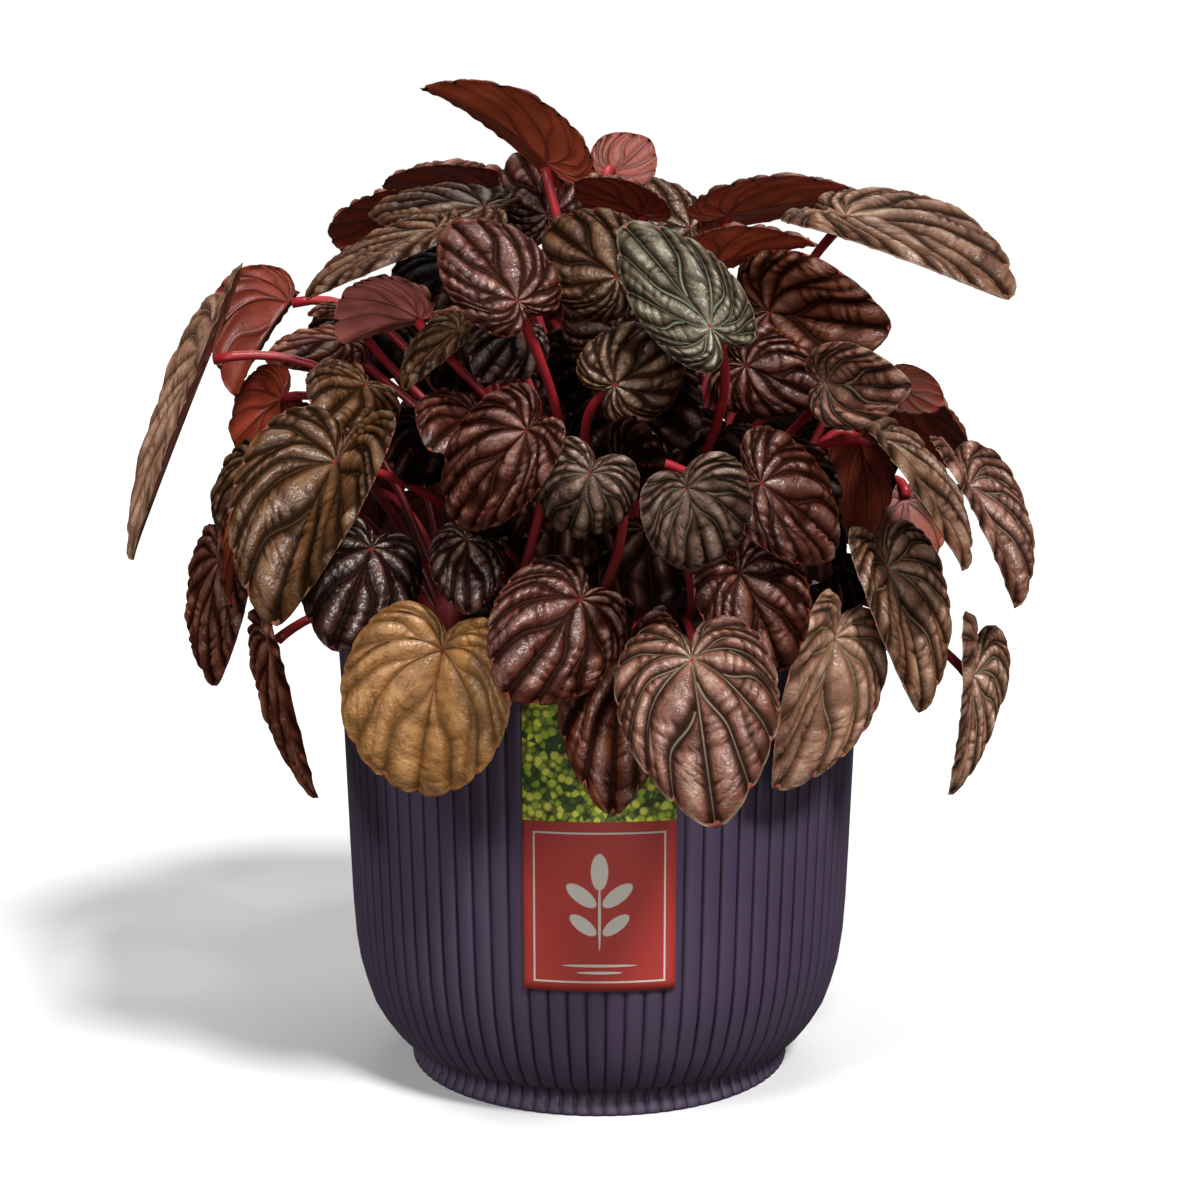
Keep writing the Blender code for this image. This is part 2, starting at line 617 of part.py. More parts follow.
def material(name, colour, roughness):
    made = bpy.data.materials.new(name)
    made.use_nodes = True
    shader = made.node_tree.nodes["Principled BSDF"]
    shader.inputs["Base Color"].default_value = (*colour, 1)
    shader.inputs["Roughness"].default_value = roughness
    shader.inputs["Metallic"].default_value = 0
    return made


def keep_outer_shell(mesh):
    """Fills the tiny hollows that a union can leave, by removing every shell but the largest."""
    shells = bmesh.new()
    shells.from_mesh(mesh)
    left = set(shells.verts)
    found = []
    while left:
        shell, edge = set(), [left.pop()]
        while edge:
            vert = edge.pop()
            shell.add(vert)
            near = {link.other_vert(vert) for link in vert.link_edges} & left
            left -= near
            edge += near
        found.append(shell)
    found.sort(key=len)
    for shell in found[:-1]:
        bmesh.ops.delete(shells, geom=list(shell), context="VERTS")
    shells.to_mesh(mesh)
    shells.free()


def joined(name, pieces, operation, solver):
    """The first piece after one Boolean with the others, which are removed."""
    group = bpy.data.collections.new(name + "_pieces")
    bpy.context.scene.collection.children.link(group)
    base, others = pieces[0], pieces[1:]
    for piece in others:
        bpy.context.scene.collection.objects.unlink(piece)
        group.objects.link(piece)
    boolean = base.modifiers.new("Join", "BOOLEAN")
    boolean.operation = operation
    boolean.solver = solver
    boolean.operand_type = "COLLECTION"
    boolean.collection = group
    bpy.context.view_layer.update()
    evaluated = base.evaluated_get(bpy.context.evaluated_depsgraph_get())
    mesh = bpy.data.meshes.new_from_object(evaluated)
    keep_outer_shell(mesh)
    base.modifiers.clear()
    base.data = mesh
    base.name = name
    mesh.name = name
    for piece in list(group.objects):
        bpy.data.objects.remove(piece)
    bpy.data.collections.remove(group)
    return base


def ring(radius, height, sides, start=0):
    turns = start + 2 * math.pi * np.arange(sides) / sides
    radius = np.broadcast_to(radius, sides)
    return np.stack([radius * np.sin(turns), -radius * np.cos(turns), np.full(sides, height)], axis=1)


def turned(rings, cap_start=True, cap_end=True):
    """Points and faces of a solid through rings, where each ring's size divides the one before."""
    points, faces, rows = [], [], []
    for one in rings:
        rows.append(range(len(points), len(points) + len(one)))
        points += list(one)
    for one, two in zip(rows, rows[1:]):
        step = len(one) // len(two)
        for i in range(len(two)):
            run = [one[(i * step + k) % len(one)] for k in range(step + 1)]
            faces.append([*run, two[(i + 1) % len(two)], two[i]])
    if cap_start:
        faces.append(list(rows[0])[::-1])
    if cap_end:
        faces.append(list(rows[-1]))
    return points, faces


def make_pot():
    sides = 2 * FLUTES
    start = 2 * math.pi * FIRST_GROOVE / FLUTES
    grooved = np.where(np.arange(sides) % 2, 0, FLUTE_DEPTH)
    rings = [ring(radius * MM - grooved, height * MM, sides, start) for radius, height in POT_OUTSIDE]
    rings += [ring(radius * MM, height * MM, LINING_SIDES, start) for radius, height in POT_INSIDE]
    pot = mesh_object("pot", *turned(rings))
    pot.data.materials.append(material("pot_plastic", (0.052, 0.036, 0.071), 0.5))
    return pot


def make_soil(places):
    """The soil that fills the pot, gently domed and lumpy, with a plain hole for each stem."""
    draw = random.Random(SOIL_SEED)
    fit = math.cos(math.pi / LINING_SIDES)
    rings = [ring(radius * MM * fit - CLEARANCE, height * MM, SOIL_SIDES) for radius, height in SOIL_SIDE]
    for radius, rise in SOIL_RINGS:
        one = ring(radius * MM, SOIL_LEVEL + rise * MM, SOIL_SIDES)
        one[:, 2] += [draw.uniform(-SOIL_LUMPS, SOIL_LUMPS) for _ in one]
        rings.append(one)
    points, faces = turned(rings, cap_end=False)
    last = range(len(points) - SOIL_SIDES, len(points))
    points.append(np.array([0, 0, SOIL_LEVEL + SOIL_CROWN]))
    faces += [(a, b, len(points) - 1) for a, b in zip(last, [*last[1:], last[0]])]
    soil = mesh_object("potting_soil", points, faces)
    holes = []
    for place in places:
        low = ring(STEM_RADIUS + CLEARANCE, SOIL_LEVEL - STEM_DEPTH, STEM_SIDES)
        high = ring(STEM_RADIUS + CLEARANCE, SOIL_LEVEL + STEM_RISE, STEM_SIDES)
        holes.append(mesh_object("hole", *turned([low + place, high + place])))
    soil = joined("potting_soil", [soil, *holes], "DIFFERENCE", "EXACT")
    soil.data.materials.append(material("soil", (0.035, 0.022, 0.014), 0.95))
    return soil


def make_label():
    """A card of one width wrapped round the crests of the flutes."""
    heights = np.linspace(LABEL_BOTTOM, LABEL_TOP, LABEL_ROWS + 1)
    pot_heights = [height * MM for _, height in POT_OUTSIDE]
    crest = np.interp(heights, pot_heights, [radius * MM for radius, _ in POT_OUTSIDE])
    halves = LABEL_WIDTH / 2 / crest
    shares = np.linspace(-1, 1, LABEL_COLUMNS + 1)
    points, faces = [], []
    across = LABEL_COLUMNS + 1
    for depth in (CLEARANCE, CLEARANCE + LABEL_THICKNESS):
        for height, radius, half in zip(heights, crest + depth, halves):
            turns = half * shares
            points += [(radius * math.sin(t), -radius * math.cos(t), height) for t in turns]
    layer = across * (LABEL_ROWS + 1)
    for row in range(LABEL_ROWS):
        for k in range(LABEL_COLUMNS):
            a = row * across + k
            faces.append((a, a + 1, a + 1 + across, a + across))
            faces.append(tuple(i + layer for i in (a + across, a + 1 + across, a + 1, a)))
    rim = [k for k in range(across)]
    rim += [row * across + LABEL_COLUMNS for row in range(1, LABEL_ROWS + 1)]
    rim += [LABEL_ROWS * across + k for k in range(LABEL_COLUMNS - 1, -1, -1)]
    rim += [row * across for row in range(LABEL_ROWS - 1, 0, -1)]
    for a, b in zip(rim, rim[1:] + rim[:1]):
        faces.append((a, a + layer, b + layer, b))
    label = mesh_object("label", points, faces)
    label.data.materials.append(material("label_card", (0.35, 0.036, 0.028), 0.45))
    return label


def make_crown(number, place, blades, paths, look):
    """A short stem and the leaves that grow from it, in one solid."""
    foot = place + np.array([0, 0, SOIL_LEVEL - STEM_DEPTH + CLEARANCE])
    rings = [ring(STEM_RADIUS * share, height, STEM_SIDES) + foot for share, height in STEM_OUTLINE]
    pieces = [mesh_object("stem", *turned(rings))]
    for blade, path in zip(blades, paths):
        pieces.append(mesh_object("leaf", *leaf_mesh(blade, path)))
    crown = joined(f"leafy_crown_{number:02d}", pieces, "UNION", "MANIFOLD")
    crown.data.materials.clear()
    crown.data.materials.append(look)
    return crown


def main():
    for obj in list(bpy.data.objects):
        bpy.data.objects.remove(obj)
    solid_parts = [make_pot(), make_soil(crown_places()), make_label()]
    plant = grown_plant([object_tree(one) for one in solid_parts])
    look = material("leaf", (0.09, 0.035, 0.025), 0.4)
    for number, place in enumerate(plant.places):
        mine = [i for i, crown in plant.crowns.items() if crown == number]
        blades, paths = [plant.blades[i] for i in mine], [plant.paths[i] for i in mine]
        if mine:
            make_crown(number + 1, place, blades, paths, look)


main()
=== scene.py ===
"""Looks of the ripple peperomia in its fluted pot: leaves, stalks, soil, label and studio.

Metres, +Z up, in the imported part's frame. The leaves are placed by the rules of the part's own
source, and are made finer here: quilted between their veins, with round stalks.
"""

import math
import random
from dataclasses import dataclass

import bpy
import numpy as np
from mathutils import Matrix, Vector
from mathutils.bvhtree import BVHTree

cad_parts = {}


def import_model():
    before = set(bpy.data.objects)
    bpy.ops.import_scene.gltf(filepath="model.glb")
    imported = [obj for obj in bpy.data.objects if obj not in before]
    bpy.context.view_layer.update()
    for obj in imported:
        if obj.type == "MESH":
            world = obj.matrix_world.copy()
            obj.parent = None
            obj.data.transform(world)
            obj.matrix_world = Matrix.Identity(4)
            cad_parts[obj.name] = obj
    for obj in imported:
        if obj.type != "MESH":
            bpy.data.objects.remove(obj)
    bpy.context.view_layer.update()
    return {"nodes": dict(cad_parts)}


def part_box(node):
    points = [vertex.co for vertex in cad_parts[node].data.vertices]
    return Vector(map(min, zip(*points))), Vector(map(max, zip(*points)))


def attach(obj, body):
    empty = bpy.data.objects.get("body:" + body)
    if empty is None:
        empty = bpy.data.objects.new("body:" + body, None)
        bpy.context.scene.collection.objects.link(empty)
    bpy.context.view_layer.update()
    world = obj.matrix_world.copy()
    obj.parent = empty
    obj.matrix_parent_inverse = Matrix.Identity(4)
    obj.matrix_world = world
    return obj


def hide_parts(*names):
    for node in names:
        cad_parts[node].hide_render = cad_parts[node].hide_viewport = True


MM = 0.001
CLEARANCE = 0.3 * MM

# Pot: radius and height of its turned outline
POT_OUTSIDE = [(50.8, 0), (49.8, 5.5), (55.6, 9), (61.0, 17), (65.6, 33), (70, 124)]
FLUTES = 86
FIRST_GROOVE = 0.33

SOIL_LEVEL = 112 * MM

# Label
LABEL_WIDTH = 37 * MM
LABEL_BOTTOM = 38.5 * MM
LABEL_TOP = 119 * MM
LABEL_THICKNESS = 0.8 * MM

# Crowns: rings of short stems in the soil, as radius, number and turn of the first in degrees
CROWN_RINGS = [(0, 1, 0), (20, 4, 45), (42, 8, 22.5)]
LIKELY_CROWNS = 4
MOST_LEAVES = 11
STEM_RADIUS = 5 * MM
STEM_DEPTH = 9 * MM
STEM_RISE = 20 * MM
FOLIAGE_FOOT = 118 * MM
WIDEST_ROOT = 50 * MM

# Blades and stalks
BLADE_THICKNESS = 0.9 * MM
BLADE_SPOKES = 12
SPOKE_CROWDING = 1.25
BLADE_ROWS = [(0.55, 1.0), (1.0, 0.6)]
RIPPLE = 1.0 * MM
FULL_CUP = 0.9
STALK_RADIUS = 1.4 * MM
STALK_STEPS = 4
STALK_SIDES = 4
STALK_SINK = 0.4
FIRST_ACROSS = np.array([0.31, 0.87, 0.39])
BLADE_ROOM = 2.2 * MM
STALK_ROOM = 0.5 * MM
LOWEST_STALK = 4 * MM
STALK_SPACING = 1.37 * MM
ROOT_OFFSET = 0.45
STALK_LEAN = 0.6
STALK_RISE = 0.42
ARRIVAL_FACE, ARRIVAL_ALONG = 0.8, 0.45
ARRIVAL_RUN = 0.3
ARRIVAL_BOW = 0.4
STUB = 8 * MM
BOW_SIZES = [4, 8, 12, 17, 23, 30, 38]
BOW_WAYS = 10

# Touches that a blade in the pot counts for, and a stalk's touch of what isn't its crown's
SUNK_HITS = 5
STRANGE_HITS = 3

# Outline of a flat blade: degrees round the joint from the tip, and radius in joint-to-tip lengths
OUTLINE_TURNS = [0, 15, 30, 48, 68, 90, 115, 140, 160, 180]
POINTED_RADII = [1.0, 0.83, 0.69, 0.59, 0.5, 0.44, 0.39, 0.32, 0.22, 0.12]
BLUNT_RADII = [1.0, 0.92, 0.82, 0.7, 0.58, 0.49, 0.43, 0.35, 0.23, 0.12]
LOBES_FROM, LOBES_SPAN = 60, 60
VEIN_SWEEP = 25

# Sighting of the photographed leaves: the eye, and the 1200-pixel picture that it sees
EYE = np.array([0, -609, 225]) * MM
LOOK_DOWN = math.radians(9.4)
FOCAL_PIXELS = 2319
PICTURE_MIDDLE = (599.5, 600)
AHEAD = np.array([0, math.cos(LOOK_DOWN), -math.sin(LOOK_DOWN)])
ABOVE = np.array([0, math.sin(LOOK_DOWN), math.cos(LOOK_DOWN)])


@dataclass(frozen=True)
class Leaf:
    """A leaf sighted in the photograph. Lengths are in millimetres and angles in degrees.

    joint and tip are pixels. out is how far the joint lies in front of the pot's axis. length runs
    from joint to tip, and near says whether the tip points to the eye or away from it. roll turns
    the face about that line, clockwise as seen, from facing the eye. fold raises both halves from
    the midrib, cup lowers the sides again and bend curves the blade down from joint to tip. blunt
    runs from a pointed tip, 0, to a round one, 1, and lobes lengthens the two lobes at the stalk.
    """

    joint: tuple
    tip: tuple
    out: float
    length: float
    width: float = 1.0
    roll: float = 0
    near: bool = True
    fold: float = 6
    cup: float = 24
    bend: float = 20
    blunt: float = 0.4
    lobes: float = 1.0


FRONT_LEAVES = [
    # over the pot's rim
    Leaf((692, 660), (717, 836), 94, 41, 0.98, blunt=0.15, lobes=1.05),
    Leaf((443, 651), (416, 799), 76, 36, 1.15, roll=18, near=False, fold=28, cup=16, blunt=1.0),
    Leaf((628, 652), (612, 823), 75, 41, 0.8, roll=20, fold=16, cup=20, blunt=0.3),
    Leaf((580, 600), (501, 701), 88, 31, roll=-6, blunt=0.8),
    Leaf((740, 573), (783, 678), 79, 27.5, 1.08, roll=-24, near=False, fold=22, cup=22, lobes=1.1),
    Leaf((834, 639), (771, 798), 62, 41, 0.9, roll=-47, fold=22, cup=10, blunt=0.3),
    Leaf((887, 569), (922, 721), 44, 38, 0.82, roll=-45, fold=22, cup=10, blunt=0.0, lobes=1.25),
    Leaf((973, 676), (948, 801), 22, 33, 0.55, roll=-54, fold=26, cup=10, blunt=0.0, lobes=1.9),
    # right side
    Leaf((968, 487), (1018, 614), 12, 36, 0.85, roll=-62, fold=24, cup=6, blunt=0.2, lobes=1.5),
    Leaf((876, 437), (968, 577), 38, 44, 0.8, roll=-73, fold=16, cup=6, blunt=0.3),
    Leaf((905, 400), (985, 478), 14, 32, 1.12, roll=-112, fold=0, cup=6),
    Leaf((896, 384), (944, 410), 0, 18, 0.85, roll=150),
    Leaf((827, 383), (915, 386), 60, 23, 0.98, roll=10, fold=24, cup=10, blunt=0.5, lobes=0.85),
    Leaf((761, 484), (840, 554), 72, 28, 1.15, roll=-42, near=False, fold=14, cup=14,
         blunt=0.5, lobes=1.2),
    # middle of the front
    Leaf((686, 488), (706, 571), 98, 21, 1.35, roll=-20, near=False, fold=28, cup=14, lobes=1.15),
    Leaf((591, 473), (568, 533), 94, 20, 1.15, near=False, bend=60, blunt=0.7, lobes=1.2),
    Leaf((527, 431), (452, 527), 84, 30, 0.9, roll=31, near=False, fold=22, blunt=0.8),
    Leaf((615, 385), (684, 336), 62, 22, 1.1, near=False, blunt=0.7, lobes=1.1),
    Leaf((710, 327), (619, 219), 72, 36, 0.7, roll=8, near=False, blunt=0.3),
    Leaf((517, 301), (446, 220), 66, 27, 0.98, roll=25, near=False, fold=17, blunt=0.6),
    Leaf((746, 366), (824, 400), 70, 21.5, 1.06, near=False, lobes=1.3),
    Leaf((770, 312), (897, 328), 42, 34, 1.08, roll=8, fold=28, cup=10),
    # crest
    Leaf((846, 217), (1017, 304), 10, 51, 0.8, roll=-64, fold=13, cup=14, bend=36, blunt=0.75),
    Leaf((728, 214), (877, 199), -2, 40, 0.82, roll=-111, fold=10, cup=6),
    Leaf((717, 263), (820, 244), 22, 30, 0.9, roll=-110, fold=18, cup=6),
    Leaf((547, 162), (416, 86), 6, 40, 0.82, roll=113, fold=18, cup=4, bend=34, blunt=0.6),
    Leaf((610, 174), (651, 138), -10, 17, 1.05, roll=165, near=False, blunt=0.8, lobes=0.8),
    Leaf((548, 215), (517, 147), 18, 28, 0.9, near=False),
    Leaf((640, 212), (575, 178), 8, 24, 0.85, roll=130),
    Leaf((690, 228), (614, 176), 0, 27, 0.8, roll=40, near=False),
    Leaf((617, 277), (545, 222), 46, 30, 0.95, near=False),
    Leaf((615, 330), (566, 292), 26, 24, near=False),
    Leaf((520, 328), (475, 382), 44, 25, 0.85),
    # left side
    Leaf((458, 330), (402, 393), 60, 22, 0.75, roll=50, fold=22, cup=16, blunt=0.3),
    Leaf((475, 415), (426, 450), 52, 25, roll=20),
    Leaf((467, 540), (468, 618), 74, 20, 0.95),
    Leaf((371, 549), (330, 655), 60, 29, 1.08),
    Leaf((336, 463), (273, 634), 66, 45, 0.92, roll=35, fold=30, cup=8, lobes=1.15),
    Leaf((208, 357), (127, 569), 22, 60, 0.6, roll=80, fold=17, cup=4, bend=2, blunt=0.3,
         lobes=1.5),
    Leaf((288, 302), (234, 403), -10, 33, 1.15, roll=126, fold=36, cup=0, blunt=0.3, lobes=0.7),
    Leaf((393, 222), (327, 224), -40, 26, 0.95, roll=140),
    Leaf((490, 188), (378, 183), -26, 32, 0.9, roll=116, blunt=0.8, lobes=0.8),
    Leaf((483, 207), (366, 211), -2, 33, 0.9, roll=69, near=False, blunt=1.0),
    Leaf((436, 230), (300, 302), 22, 40, 0.66, roll=70, fold=8, cup=16),
    Leaf((420, 318), (338, 346), 40, 30, 1.05, roll=122, near=False, fold=28, cup=8, lobes=1.2),
    Leaf((356, 312), (306, 314), 10, 16, 0.6, roll=60),
    Leaf((220, 560), (215, 692), 6, 35, 0.85, roll=58, fold=4, cup=16, lobes=1.4),
    Leaf((272, 641), (318, 806), 42, 43, 0.7, roll=76, fold=14, cup=8, bend=4),
    Leaf((245, 518), (230, 612), 32, 27, 0.7, roll=105, fold=20),
    Leaf((252, 458), (223, 538), 26, 24, 0.9, roll=50, lobes=1.2),
    Leaf((343, 340), (262, 362), 20, 23, roll=56, fold=0),
    Leaf((365, 385), (320, 425), 38, 26, roll=15),
    Leaf((280, 398), (230, 446), -4, 24, 1.1, roll=150),
    # inside the plant, behind those
    Leaf((640, 400), (700, 440), 46, 30),
    Leaf((590, 360), (545, 410), 40, 28),
    Leaf((620, 460), (668, 450), 66, 21),
    Leaf((762, 468), (845, 505), 56, 24, roll=-15),
    Leaf((835, 560), (848, 612), 35, 18, roll=-30),
    Leaf((862, 440), (868, 545), 14, 30, 0.95, roll=-130),
    Leaf((905, 500), (915, 575), 16, 24, 0.9, roll=165),
    Leaf((440, 430), (405, 485), 34, 30, roll=10),
    Leaf((505, 480), (475, 540), 50, 30),
    Leaf((560, 505), (550, 580), 46, 32),
    Leaf((645, 530), (655, 615), 52, 32),
    Leaf((725, 430), (700, 490), 28, 33),
    Leaf((800, 435), (820, 500), 16, 32, roll=-15),
    Leaf((790, 510), (785, 595), 30, 33, roll=-15),
    Leaf((462, 345), (440, 395), 26, 26, 0.9),
    Leaf((375, 320), (350, 390), 0, 36, roll=10),
    Leaf((330, 420), (320, 500), 8, 34, roll=10),
    Leaf((612, 412), (598, 470), 30, 24),
    Leaf((455, 262), (415, 325), 4, 30, roll=20),
]
SETBACKS = [0, 2, -2, 4, -4, 6, -6, 8, 11, 14, 17, 20, 24, 28, 32, 36, 40]

# Leaves of the sides and back, which the photograph hides
HIDDEN_LEAVES = 20
HIDDEN_SEED = 7
HIDDEN_AZIMUTHS = (12, 168)
HIDDEN_RISES = [-14, 5, 24, 42, 58]
RISE_SPREAD = 8
HIDDEN_DEPTHS = (0.72, 1.0)
UPWARD_TILTS = (0.2, 0.7)
MOST_SWING = 50
HIDDEN_LENGTHS = (32, 46)
HIDDEN_WIDTHS = (0.85, 1.05)
HIDDEN_BLUNTNESS = (0.2, 0.8)
HIDDEN_FOLD, HIDDEN_CUP, HIDDEN_BEND = 6, 24, 24
DOME_MIDDLE = np.array([-4, 0, 138]) * MM
DOME_REACH = np.array([92, 88, 92]) * MM
PLANT_MIDDLE = np.array([600, 430])
PLANT_REACH = np.array([340, 235])


# Veins of a fine blade: the main ones in degrees from the tip, each interval's two forks, as
# where they start and how they open, and the way that they wander and arch
MAIN_VEINS = [0, 30, 68, 118, 180]
FIRST_FORK, FIRST_FORK_TURN = 0.16, 3.1
SECOND_FORK, SECOND_FORK_TURN = 0.46, 5.3
FORK_SPREAD = 0.09
FIRST_OPENING = (0.05, 0.42, 0.5)
SECOND_OPENING = (0.07, 0.43, 0.4)
SECOND_SHARES = np.array([0.5, 1, 1, 1])
FORK_LENGTH = 0.08
OWN_PHASE = 1.7
HALF_PHASES = np.array([1.15, -1.15])
WANDER, WANDER_UP, WANDER_ACROSS = 0.13, 4.2, 1.9
ARCH = 30

# Pillows between the veins, the creases that bead them, and the margin
PILLOW_ROUNDNESS = 0.6
FULL_PILLOW = 0.5
RISE = 0.4
MOST_RISE = 2.0 * MM
FORKED_RISE, TWICE_FORKED_RISE = 0.4, 0.2
SMOOTHER = {1: 0.72, 5: 0.85, 38: 0.8}
BEAD = 4.0 * MM
BEADING = 0.55
BEADS_FROM, BEADS_FULL = 0.2, 0.3
CREASE_SWAY, SWAY_UP, SWAY_ACROSS, CREASE_STEP = 0.6, 1.7, 2.3, 0.37
MARGIN_FLATNESS, MARGIN_FROM, MARGIN_WIDTH = 0.6, 0.9, 0.1
MARGIN_CURL = 0.8 * MM
CURL_FROM, CURL_WIDTH = 0.84, 0.16
SCALLOP = 0.03
BLADE_SHRINK = 0.985
BLADE_SINK = 0.3 * MM
UNDERSIDE_RELIEF = 0.35
EDGE_THICKNESS = 0.5 * MM

# Grids of the blades: columns to an interval, and a row's depth with the fewest and most rows
COLUMNS = 12
ROW_CROWDING = 0.92
SEEN_LEAVES = 53
SEEN_ROWS = (0.95 * MM, 18, 44)
HIDDEN_ROWS = (1.6 * MM, 16, 30)
INNER_ROWS = 16

# Fine stalks and stems
FINE_STALK_SIDES = 10
FINE_STALK_STEPS = 18
STALK_WAIST = 1.15 * MM
FINE_STEM_SIDES, FINE_STEM_RINGS = 20, 14
STEM_FIT = 0.97
STEM_TAPER, TAPER_FROM, TAPER_SPAN = 0.42, 0.45, 0.55
STEM_KNOBS, KNOB_TURN = 0.05, 19

# Fine pot: radius and height outside and inside, and its ribs, low at the rim and the foot
POT_FINE = [
    (50.9, 0), (51.1, 0.7), (50.9, 1.6), (50.1, 3), (49.7, 5), (50.1, 6.4), (52.3, 7.7),
    (55.0, 8.6), (56.4, 10), (57.6, 11.6), (59.3, 14), (61.6, 18), (63.3, 23), (64.9, 29),
    (65.9, 36), (66.5, 45), (67.1, 60), (67.8, 80), (68.5, 100), (69.4, 115), (69.9, 121.5),
    (69.9, 123), (69.4, 123.8),
]
POT_FINE_INSIDE = [(68.1, 123.9), (67.6, 123.2), (67.3, 121), (66.9, 113), (66.4, 100)]
RIB_SAMPLES = 8
RIB_DEPTH = 0.95 * MM
RIB_ROUNDNESS = 0.45
LOW_RIBS, RIM_FROM, FOOT_TO = 0.25, 123.2, 0.3
INSIDE_RIBS, INSIDE_LEVEL = 0.5, 0.4

# Fine soil: its grid, the crown and skirt of its top, and its clods
SOIL_SEED = 11
SOIL_SIDES, SOIL_ROWS = 168, 46
SOIL_GAP = 0.5 * MM
SOIL_CROWN = 1.5 * MM
SKIRT_FIT, SKIRT_DEPTH = 0.985, 12 * MM
CLODS = 520
CLOD_SIZES = (1.2, 3.4)
CLOD_HEIGHT, CLOD_SINK = 0.42, 0.6 * MM

# Label: its grid, and its print in millimetres, with the brick field's top, its frame and the
# foot of the sky
LABEL_COLUMNS, LABEL_ROWS = 24, 36
FIELD_TOP = (43.0, 43.2)
FRAME_MIDDLE, FRAME_HALVES, FRAME_WIDTH = (0, 21.3), (15.75, 18.65), 0.45
SKYLINE, HILL_TURN, HILL_HEIGHT = (75, 75.4), 0.11, 1.6
SOFT_EDGE = 0.06

# Sprig on the label: middle, radii and turn of each oval, in millimetres and degrees
SPRIG = [
    ((0, 19), (0.35, 8.5), 0), ((0, 30.5), (2.1, 4.6), 0),
    ((4.4, 24.5), (1.9, 4.4), -52), ((-4.4, 24.5), (1.9, 4.4), 52),
    ((4.0, 17), (1.7, 3.9), -52), ((-4.0, 17), (1.7, 3.9), 52),
    ((0, 6.6), (9, 0.35), 0), ((0, 4.8), (5.5, 0.35), 0),
]

# Colours of the pieces, linear
JOINT_RED, JOINT_PINK = (0.28, 0.015, 0.012, 1), (0.42, 0.06, 0.05, 1)
STALK_FOOT, STALK_TOP = (0.09, 0.003, 0.005, 1), (0.4, 0.02, 0.028, 1)
STALK_BLUSH = (0.36, 0.05, 0.045, 1)
# The pot's grooves go near black: painted shade in them
POT_GROOVE_SHADE, POT_RIB = (0.003, 0.002, 0.005, 1), (0.066, 0.042, 0.083, 1)
POT_DUST = (0.08, 0.055, 0.1, 1)
SOIL_DARK, SOIL_PALE = (0.008, 0.005, 0.003, 1), (0.06, 0.036, 0.022, 1)
SOIL_FIBRE = (0.17, 0.11, 0.06, 1)
HEDGE_DARK, HEDGE, HEDGE_SUN = (0.05, 0.1, 0.015, 1), (0.5, 0.66, 0.05, 1), (0.95, 0.95, 0.12, 1)
HEDGE_GAP, SKY = (0.02, 0.03, 0.008, 1), (0.5, 0.62, 0.7, 1)
FIELD, FIELD_PALE, MARKS = (0.4, 0.038, 0.03, 1), (0.47, 0.048, 0.037, 1), (0.66, 0.6, 0.52, 1)
FLOOR_DARK, FLOOR_PALE = (0.9, 0.9, 0.9, 1), (0.92, 0.92, 0.92, 1)

# Suns: name, degrees to the right of the camera and above the floor, strength and spread
SUNS = [
    ("key", 34, 50, 3.4, 12),
    ("fill", -42, 40, 1.3, 20),
    ("front", 6, 3, 0.9, 30),
    ("top", 170, 60, 0.8, 40),
]
WORLD_LIGHT = 0.09
FLOOR_HALF = 4
PICTURE_SIDE = 1200
SENSOR = 36
NEAREST_SEEN = 0.01


def unit(vector):
    return vector / np.linalg.norm(vector)


def sight(pixel):
    """Unit direction from the eye through a pixel of the photograph."""
    right = (pixel[0] - PICTURE_MIDDLE[0]) / FOCAL_PIXELS
    up = (PICTURE_MIDDLE[1] - pixel[1]) / FOCAL_PIXELS
    return unit(AHEAD + right * np.array([1, 0, 0]) + up * ABOVE)


@dataclass
class Blade:
    """A blade where it grows: its joint, the way to its tip and the way that it faces."""

    joint: np.ndarray
    along: np.ndarray
    face: np.ndarray
    length: float
    width: float
    fold: float
    cup: float
    bend: float
    blunt: float
    lobes: float


def pixels(points):
    """Where points fall in the photograph."""
    from_eye = points - EYE
    depth = from_eye @ AHEAD
    right = PICTURE_MIDDLE[0] + FOCAL_PIXELS * from_eye[:, 0] / depth
    down = PICTURE_MIDDLE[1] - FOCAL_PIXELS * (from_eye @ ABOVE) / depth
    return np.stack([right, down], axis=1)


def sighted_blade(leaf, setback):
    ray = sight(leaf.joint)
    joint = EYE + ray * ((-(leaf.out - setback) * MM - EYE[1]) / ray[1])
    toward_tip = sight(leaf.tip)
    length = leaf.length * MM
    nearest = (joint - EYE) @ toward_tip
    miss = np.linalg.norm(EYE + toward_tip * nearest - joint)
    reach = math.sqrt(max(length**2 - miss**2, 0))
    tip = EYE + toward_tip * (nearest - reach if leaf.near else nearest + reach)
    along = unit(tip - joint)
    to_eye = EYE - joint
    facing = unit(to_eye - (to_eye @ along) * along)
    side = np.cross(along, facing)
    roll = math.radians(leaf.roll)
    face = facing * math.cos(roll) + side * math.sin(roll)
    form = (leaf.width, leaf.fold, leaf.cup, leaf.bend, leaf.blunt, leaf.lobes)
    return Blade(joint, along, face, length, *form)


